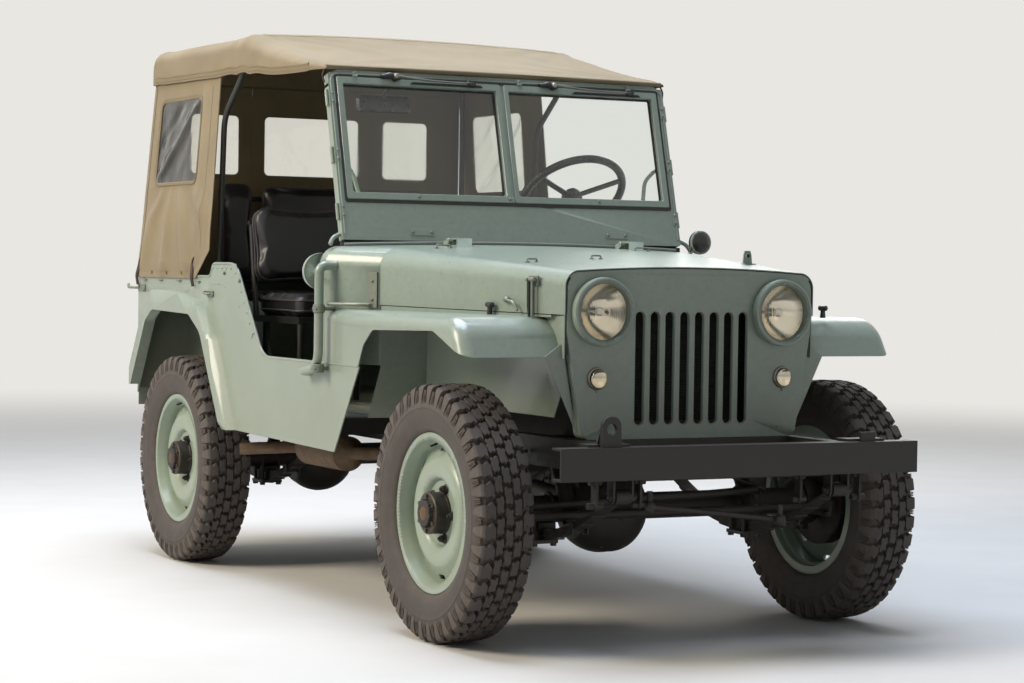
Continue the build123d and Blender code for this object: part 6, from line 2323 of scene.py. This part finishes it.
@dataclass
class Wheel:
    """A pressed disc wheel with its hub and bar-tread tyre."""

    repeat: Repeater
    corner: Corner
    lugs: int = 40
    tread_r: float = 355.6
    base_r: float = 338.5
    nuts: int = 5
    nut_circle: float = 72.0
    lip_x: float = 59.2
    hub_r: float = 58.5
    hub_face: float = 26.2
    turn: Matrix = field(init=False)
    body: Body = field(init=False)

    def __post_init__(self) -> None:
        """Finds the wheel's place and the body that it rides on."""
        if self.corner is Corner.SPARE:
            self.turn = Matrix.Translation(SPARE_PLACE) @ Matrix.Rotation(math.pi / 2, 4, "Z")
            self.body = Body.CAR
            return
        side, spin = (-1, math.pi) if "right" in self.corner.value else (1, 0)
        along = 0.0 if "front" in self.corner.value else WHEELBASE
        self.turn = Matrix.Translation((side * HALF_TRACK, along, TYRE_R)) @ Matrix.Rotation(spin, 4, "Z")
        self.body = Body(self.corner.value + "_wheel")

    def build(self) -> None:
        """Builds the tyre, the wheel's pressings and the hub."""
        spare = self.corner is Corner.SPARE
        self._disc("spare_wheel" if spare else "wheel_" + self.corner.value)
        self._tyre("spare_tyre" if spare else "tyre_" + self.corner.value)
        if not spare:
            self._hub()

    def _disc(self, node: str) -> None:
        """Dresses the disc, with rolled lips and the stepped well of its rim.

        Args:
            node: the wheel's CAD node.
        """
        disc = refine(node, WHEEL_ENAMEL, self.body, 26)
        centre = self.turn.translation
        outward = self.turn.to_3x3() @ Vector(ACROSS)
        disc.data.materials.append(OILY_IRON.material())
        for face in disc.data.polygons:
            spot = face.center * 1000 - Vector((0, AXLE_Y, 0)) - centre
            along = spot.dot(outward)
            if (spot - outward * along).length < self.hub_r and along > self.hub_face:
                face.material_index = 1
        rims = Form()
        for x in (-self.lip_x, self.lip_x):
            rims.spin([(221.4 - 2.3 + 2.3 * math.cos(math.tau * k / 8), x + 2.6 * math.sin(math.tau * k / 8))
                       for k in range(8)], ORIGIN, ACROSS, 96, True)
        outer_well = [(198.5, 60), (197, 57), (196, 48), (193.5, 44), (192.5, 30), (191.5, 24), (191.5, 11),
                      (198.5, 10)]
        inner_well = [(198.5, -60), (197, -57), (195.8, -44), (188, -38), (187, -6), (198.5, -4)]
        for well in (outer_well, inner_well):
            rims.spin(well, ORIGIN, ACROSS, 96, True)
        rims.move(self.turn)
        rims.piece(f"rim_lips_{self.corner.value}", WHEEL_ENAMEL, self.body)
        valve = Form().tube([(44, 0, 191), (52, 0, 188), (64, 0, 184)], [4, 3.4, 3.4], 10)
        valve.move(self.turn)
        valve.piece(f"valve_{self.corner.value}", SEAL_RUBBER, self.body)

    def _tyre(self, node: str) -> None:
        """Builds the casing and the tread.

        Args:
            node: the tyre's CAD node.
        """
        # Radius and place across, from the bead round the sidewall to the tread
        half = [(204, 50), (219, 56), (222.8, 57.2), (223.8, 61.5), (228, 66.5), (236, 71.5), (250, 77), (266, 80.4),
                (282, 81.3), (288.6, 81.0), (290, 82.0), (291.4, 80.9), (306, 79.6), (322, 76.5), (333, 71.5),
                (340, 63), (self.base_r, 52), (self.base_r + 1, 20)]
        rows = half + [(r, -x) for r, x in half[::-1]]
        casing = Form().spin(rows, ORIGIN, ACROSS, 120, True)
        for vert in casing.bm.verts:
            r = math.hypot(vert.co.y, vert.co.z)
            vert[casing.dust] = 0.95 if r > 334 else (0.55 if r > 296 else 0.30 + 0.2 * (r < 240))
        casing.move(self.turn)
        made = casing.piece(f"tyre_casing_{self.corner.value}", TYRE_RUBBER, self.body, 40)
        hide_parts(node)
        tread = self.repeat.make(f"tyre_tread_{self.corner.value}", Pattern.ROUND_AXLE, self._lug(), TYRE_RUBBER,
                                 None, count=self.lugs, angle=24)
        tread.data.transform(TO_CAR @ self.turn @ Matrix.Scale(1000, 4))
        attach(tread, self.body.value)
        LOG.info("%s: %d faces on %s", tread.name, len(tread.data.polygons), self.body.value)

    def _at(self, x: float, s: float, r: float) -> Vector:
        """A place on the tread: across, round the tyre and out from the axle."""
        a = s / self.tread_r
        return Vector((x, r * math.sin(a), r * math.cos(a)))

    def _lug(self) -> Form:
        """One pitch of the tread: three interlocking blocks, two shoulder lugs and thin ribs.

        Returns:
            The shape, about the axle.
        """
        form = Form()
        pitch = math.tau * self.tread_r / self.lugs
        block = [(-12, -23), (-5, -26), (2, -19), (8, -23), (12.4, -17), (9, -6), (12.4, 4), (12.4, 17), (6, 25),
                 (-1, 19), (-7, 24), (-12, 16), (-9, 5), (-12.4, -6)]
        for x, shift, flip in ((-26.5, 0.18, 1), (0.0, 0.62, -1), (26.5, 0.05, 1)):
            rings = []
            drop = (x / 80) ** 2 * 8
            for r, size in ((self.base_r - 3, 1.04), (self.tread_r - 3 - drop, 0.98), (self.tread_r - drop, 0.88)):
                rings.append([self._at(x + a * flip * size, shift * pitch + b * size, r) for a, b in block])
            form.skin(rings)
        for side, shift in ((1, 0.30), (-1, 0.80)):
            # Across, out, half width and skew of each section, from the tread over the shoulder
            rows = ((41, 354.8, 16, 6), (50, 354.6, 19, -5), (60, 353.6, 17, 3), (70, 351.0, 17, 0),
                    (76.5, 345, 16, 0), (79.5, 334, 14, 1), (81.3, 320, 11.5, 1), (81.6, 306, 8.5, 1),
                    (80.6, 297, 6.5, 1))
            rings = []
            for x, r, wide, skew in rows:
                lean = clamped((x - 66) / 12) if r > 345 else 1.0
                inward = Vector((x - 9 * lean, 0, r - 13 * (1 - lean) - 3 * lean))
                rings.append([self._at(side * x, shift * pitch + skew - wide, r),
                              self._at(side * x, shift * pitch + skew + wide, r),
                              self._at(side * inward.x, shift * pitch + skew + wide + 2, inward.z),
                              self._at(side * inward.x, shift * pitch + skew - wide - 2, inward.z)])
            form.skin(rings)
            for offset in (-23.5, 23.5, 28.5):
                rings = []
                for x, r, wide in ((77.4, 338, 1.6), (79.6, 326, 1.5), (81.0, 312, 1.3), (80.8, 302, 1.0)):
                    mid = shift * pitch + offset * r / 340
                    rings.append([self._at(side * x, mid - wide, r), self._at(side * x, mid + wide, r),
                                  self._at(side * (x - 5), mid + wide, r - 2),
                                  self._at(side * (x - 5), mid - wide, r - 2)])
                form.skin(rings)
        for vert in form.bm.verts:
            r = math.hypot(vert.co.y, vert.co.z)
            vert[form.dust] = 0.28 if r > 350 else 0.75
        return form

    def _hub(self) -> None:
        """Wheel nuts, the hub's flange bolts and its locking dial."""
        nuts = Form()
        for k in range(self.nuts):
            a = math.tau * k / self.nuts + 0.35
            y, z = self.nut_circle * math.sin(a), self.nut_circle * math.cos(a)
            nuts.spin([(14, 25.5), (13.5, 29), (11, 30.5), (0, 30.5)], (0, y, z), ACROSS, 20)
            nuts.prism(circle(y, z, 10.5, 6), (29, 0, 0), ALONG, UP, 12, 0.96)
            nuts.tube([(40, y, z), (47, y, z)], 5.2, 10)
        nuts.move(self.turn)
        nuts.piece(f"wheel_nuts_{self.corner.value}", OILY_IRON, self.body)
        hub = Form()
        hub.spin([(self.hub_r, 26), (self.hub_r, 33), (56.6, 35)], ORIGIN, ACROSS, 48)
        hub.spin([(56.4, 62), (57.6, 63), (57.6, 70), (54, 72.5), (40, 72.5)], ORIGIN, ACROSS, 48)
        for k in range(6):
            a = math.tau * k / 6
            hub.prism(circle(48 * math.sin(a), 48 * math.cos(a), 6.4, 6), (72, 0, 0), ALONG, UP, 6)
        for k in range(24):
            a = math.tau * k / 24
            y, z = 37.6 * math.sin(a), 37.6 * math.cos(a)
            hub.tube([(72, y, z), (83, y * 0.98, z * 0.98)], 2.2, 6)
        hub.move(self.turn)
        hub.piece(f"hub_collar_{self.corner.value}", HUB_IRON, self.body)
        dial = Form().spin([(20, 83.5), (18, 84.6), (8, 84.8), (0, 84.8)], ORIGIN, ACROSS, 32)
        dial.move(self.turn)
        dial.piece(f"hub_dial_{self.corner.value}", BRASS, self.body)


@dataclass
class RunningGear:
    """Axles, springs, steering and the frame, with their bolts."""

    repeat: Repeater
    spring_x: float = 345.0
    spring_half: float = 455.0
    leaves: int = 7
    leaf_half: float = 21.5
    leaf_low: float = 304.0
    leaf_high: float = 440.0
    eye_z: float = 432.0
    shackle_z: float = 486.0
    clip_along: float = 230.0
    bolt_along: float = 33.0
    bolt_out: float = 30.0
    differential_x: float = -150.0

    def build(self) -> None:
        """Dresses the running gear and adds leaves, shackles and bolts."""
        for node in ("chassis_frame", "front_bumper", "tow_lugs"):
            refine(node, CHASSIS_BLACK)
        for node in ("front_axle", "rear_axle", "gearbox", "engine_block", "propshafts", "shock_absorbers"):
            refine(node, OILY_IRON, angle=34)
        refine("exhaust", RUSTY_TUBE, angle=40)
        refine("tie_rod", OILY_IRON, Body.TRACK_ROD, 34)
        refine("knuckle_right", OILY_IRON, Body.KNUCKLE_RIGHT, 34)
        refine("knuckle_left", OILY_IRON, Body.KNUCKLE_LEFT, 34)
        self._springs()
        self._axle_bolts()
        self._front_links()
        self._lug_plates()
        self._engine()

    def _springs(self) -> None:
        """Leaf packs with eyes, shackles, clips and U-bolts."""
        pack, links = Form(), Form()
        for along in (0.0, WHEELBASE):
            for side in SIDES:
                x = side * self.spring_x
                self._leaves(pack, x, along)
                for end in SIDES:
                    self._shackle(links, x, along + end * self.spring_half)
                    self._clip(links, x, along, end)
                for dx in SIDES:
                    arc = [(x + dx * self.bolt_out, along + self.bolt_along * math.cos(math.radians(a)),
                            TYRE_R + 44 * math.sin(math.radians(a))) for a in range(0, 181, 15)]
                    links.tube(arc, 6, 10)
                # Seat under the axle and pad over the leaves
                links.box((x - 38, along - 46, 264), (x + 38, along + 46, 274))
                links.box((x - 24, along - 44, 306), (x + 24, along + 44, 322))
        made = pack.piece("spring_leaves", OILY_IRON, angle=30)
        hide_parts("leaf_springs")
        links.piece("spring_shackles", CHASSIS_BLACK, angle=34)

    def _leaf_top(self, y: float) -> float:
        """Height of the main leaf, so far from the axle."""
        return self.leaf_low + (self.leaf_high - self.leaf_low) * (y / self.spring_half) ** 2

    def _leaves(self, pack: Form, x: float, along: float) -> None:
        """Adds one pack of bent leaves with its eyes.

        Args:
            pack: the form it is added to.
            x: its place across.
            along: the axle's place along the car.
        """
        near, far = x - self.leaf_half, x + self.leaf_half
        for k in range(self.leaves):
            reach = self.spring_half * (1 - 0.125 * k)
            rings = []
            for i in range(25):
                y = -reach + 2 * reach * i / 24
                top = self._leaf_top(y) - k * 4.4
                rings.append([(near, along + y, top - 3.9), (far, along + y, top - 3.9), (far, along + y, top),
                              (near, along + y, top)])
            pack.skin(rings)
        for end in SIDES:
            eye = (x, along + end * self.spring_half, self.eye_z)
            pack.spin([(20, -22), (20, 22), (11, 22), (11, -22)], eye, ACROSS, 28, True)

    def _shackle(self, links: Form, x: float, y: float) -> None:
        """Adds the pins, plates and nuts at a leaf's eye.

        Args:
            links: the form they are added to.
            x: the spring's place across.
            y: the eye's place along the car.
        """
        links.tube([(x - 46, y, self.eye_z), (x + 46, y, self.eye_z)], 8, 14)
        links.tube([(x - 40, y + 4, self.shackle_z), (x + 40, y + 4, self.shackle_z)], 8, 14)
        for out in SIDES:
            middle = (x + out * 28 - 3, y + 2, (self.eye_z + self.shackle_z) / 2)
            links.prism(oblong(0, 0, 34, 92, 16), middle, ALONG, UP, 6)
            for z in (self.eye_z, self.shackle_z):
                face = (x + out * 34 - (5 if out < 0 else 0), 0, 0)
                links.prism(circle(y, z, 13, 6), face, ALONG, UP, 9)

    def _clip(self, links: Form, x: float, along: float, end: int) -> None:
        """Adds the clip round one half of a pack, and that half's U-bolt legs.

        Args:
            links: the form they are added to.
            x: the spring's place across.
            along: the axle's place along the car.
            end: -1 for the front half, 1 for the rear.
        """
        y, z = along + end * self.clip_along, self._leaf_top(self.clip_along)
        for low, high in (((-25, -30), (-22, 5)), ((22, -30), (25, 5)), ((-25, 3), (25, 6))):
            links.box((x + low[0], y - 11, z + low[1]), (x + high[0], y + 11, z + high[1]))
        leg = along + end * self.bolt_along
        for dx in SIDES:
            bolt_x = x + dx * self.bolt_out
            links.tube([(bolt_x, leg, 262), (bolt_x, leg, TYRE_R)], 6, 10)
            links.prism(circle(bolt_x, leg, 10, 6), (0, 0, 256), ACROSS, ALONG, 12)

    def _axle_bolts(self) -> None:
        """Bolts round the differential covers and the steering balls, and cooling fins on the drums."""
        points = []
        for along, nose in ((0.0, 1), (WHEELBASE, -1)):
            points += [((x, along - nose * 72, z), (0, -nose, 0))
                       for x, z in circle(self.differential_x, TYRE_R, 104, 10)]
        self.repeat.heads("axle_cover_bolts", bolt_head(7, 6), ZINC_STEEL, points)
        for side, body in ((-1, Body.KNUCKLE_RIGHT), (1, Body.KNUCKLE_LEFT)):
            turns = [math.tau * k / 8 for k in range(8)]
            points = [((side * 548, 60 * math.sin(turn), TYRE_R + 60 * math.cos(turn)), (-side, 0, 0))
                      for turn in turns]
            self.repeat.heads(f"knuckle_bolts_{body.value}", bolt_head(6, 5), ZINC_STEEL, points, body)
            fins = Form()
            for x in (594, 602, 610, 618, 626):
                fins.spin([(129, -1.6), (133, -1.6), (133, 1.6), (129, 1.6)], (side * x, 0, TYRE_R), ACROSS, 64, True)
            # Brake hose from the drum up to the frame
            fins.rod([(side * 590, 40, 430), (side * 540, 60, 470), (side * 450, 40, 500), (side * 372, 20, 520)],
                     40, 5)
            fins.piece(f"drum_fins_{body.value}", OILY_IRON, body)
        covers = Form()
        for along, nose in ((0.0, 1), (WHEELBASE, -1)):
            covers.spin([(118, -58), (120, -64), (112, -74), (92, -96), (60, -114), (24, -124), (0, -126)],
                        (self.differential_x, along, TYRE_R), (0, nose, 0), 44)
            covers.ball((self.differential_x, along - nose * 122, 340), (12, 8, 12), 12)
        covers.piece("differential_covers", OILY_IRON, angle=34)

    def _front_links(self) -> None:
        """Drag link, steering damper rod and the small parts seen under the bumper."""
        form = Form()
        form.tube([(-255, -462, 402), (-60, -452, 380), (159, -440, 353)], 8)
        for x, z in ((-255, 402), (159, 353)):
            form.ball((x, -455, z), (16, 16, 18), 16)
            form.tube([(x, -455, z + 8), (x, -452, z + 42)], 8)
        for x in (-420, -286, 223, 420):
            form.prism(oblong(0, 0, 26, 86, 12), (x - 4, -448, 440), ALONG, UP, 8)
            form.tube([(x - 22, -448, 408), (x + 22, -448, 408)], 9)
            form.tube([(x - 18, -448, 470), (x + 18, -448, 470)], 8)
        form.rod([(300, -120, 404), (120, -160, 400), (-120, -170, 396), (-420, -100, 372)], 60, 11)
        form.rod([(200, -60, 520), (230, -90, 440), (330, -120, 404)], 30, 7)
        form.box((-330, -452, 470), (330, -384, 482))
        form.piece("front_link_rods", OILY_IRON, angle=34)
        hoses = Form()
        for side in SIDES:
            hoses.rod([(side * 300, -30, 500), (side * 360, -60, 470), (side * 420, -40, 430),
                       (side * 440, -20, 392)], 40, 5.5)
        hoses.rod([(-60, 40, 500), (-90, -40, 450), (-130, -20, 420)], 30, 6)
        hoses.piece("brake_hoses", SEAL_RUBBER)

    def _lug_plates(self) -> None:
        """Plates under the tow lugs, with a gusset."""
        plate = Form().box((-470, -500, 566), (-345, -448, 574))
        plate.box((345, -500, 566), (470, -448, 574))
        plate.prism([(-437, 570), (-377, 570), (-385, 600), (-429, 600)], (0, -484, 0), ACROSS, UP, -8)
        plate.piece("lug_plates", CHASSIS_BLACK)

    def _engine(self) -> None:
        """Rocker cover, air cleaner, fan and hoses under the hood."""
        form = Form()
        form.prism(oblong(-20, 300, 150, 460, 24), (0, 0, 960), ACROSS, ALONG, 34, 0.93)
        form.spin([(0, -4), (62, -4), (66, 6), (66, 40), (58, 50), (20, 54), (0, 54)], (150, 330, 930), UP, 36)
        form.rod([(150, 330, 925), (150, 330, 880), (100, 340, 860)], 20, 22)
        form.piece("engine_cover", OILY_IRON)
        fan = Form()
        for k in range(4):
            a = math.tau * k / 4 + 0.3
            c, s = math.cos(a), math.sin(a)
            fan.prism([(20 * c - 26 * s, 20 * s + 26 * c), (20 * c + 20 * s, 20 * s - 20 * c),
                       (165 * c + 34 * s, 165 * s - 34 * c), (165 * c - 34 * s, 165 * s + 34 * c)],
                      (-20, -72, 770), ACROSS, UP, 4)
        fan.tube([(-20, -84, 770), (-20, 32, 770)], 24, 20)
        fan.rod([(60, -118, 950), (60, -40, 960), (20, 60, 950)], 40, 22)
        fan.rod([(-60, -118, 600), (-60, -40, 600), (-60, 40, 640)], 40, 22)
        fan.piece("cooling_fan", CHASSIS_BLACK)


@dataclass
class Tail:
    """Tail lamps, spare wheel carrier and towing parts."""

    repeat: Repeater
    lamp_x: float = 634.0
    lamp_z: float = 690.0

    def build(self) -> None:
        """Dresses the tail."""
        refine("spare_carrier", CHASSIS_BLACK)
        refine("tail_lamps", CHASSIS_BLACK)
        lenses, rings = Form(), Form()
        for side in SIDES:
            here = (side * self.lamp_x, TAIL_Y, self.lamp_z)
            lenses.spin([(29, 43), (28, 47), (20, 50), (0, 51)], here, ALONG, 32)
            rings.spin([(34.4, 38), (34.4, 45), (31, 47), (28.6, 45.5), (28.6, 40)], here, ALONG, 36, True)
        lenses.piece("tail_lamp_lenses", RED_LENS)
        rings.piece("tail_lamp_rings", CHROME)
        nuts = Form()
        for k in range(3):
            a = math.tau * k / 3
            x, z = SPARE_PLACE[0] + 70 * math.sin(a), SPARE_PLACE[2] + 70 * math.cos(a)
            nuts.prism(circle(x, z, 11, 6), (0, 2668, 0), ACROSS, UP, -12)
            nuts.tube([(x, 2620, z), (x, 2672, z)], 6)
        nuts.piece("spare_wheel_nuts", ZINC_STEEL)
        rivets = [((x, TAIL_Y + 3, 979), ALONG) for x in range(-600, 601, 100)]
        rivets += [((x, TAIL_Y + 0.4, z), ALONG) for x in (-640, 640) for z in range(580, 961, 95)]
        self.repeat.heads("tail_rivets", round_head(5, 2.6), SAGE_ENAMEL, rivets)
        hook = Form()
        hook.rod([(0, 2530, 520), (0, 2590, 520), (0, 2604, 560), (0, 2570, 572)], 20, 9)
        hook.piece("tow_hook", CHASSIS_BLACK)


def save_sizes() -> None:
    """Updates the view layer."""
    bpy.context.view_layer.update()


def main() -> None:
    """Builds the car's looks in order and reports each piece."""
    logging.basicConfig(level=logging.INFO, format="%(name)s %(message)s", stream=sys.stdout)
    bpy.context.scene.view_settings.view_transform = "Standard"
    Studio().build()
    repeat = Repeater()
    BodyPanels(repeat).build()
    FrontEnd(repeat).build()
    Windshield(repeat).build()
    CanvasTop(repeat).build()
    Seats().build()
    Cab(repeat).build()
    RunningGear(repeat).build()
    Tail(repeat).build()
    for corner in Corner:
        Wheel(repeat, corner).build()
    save_sizes()


if __name__ == "__main__":
    main()
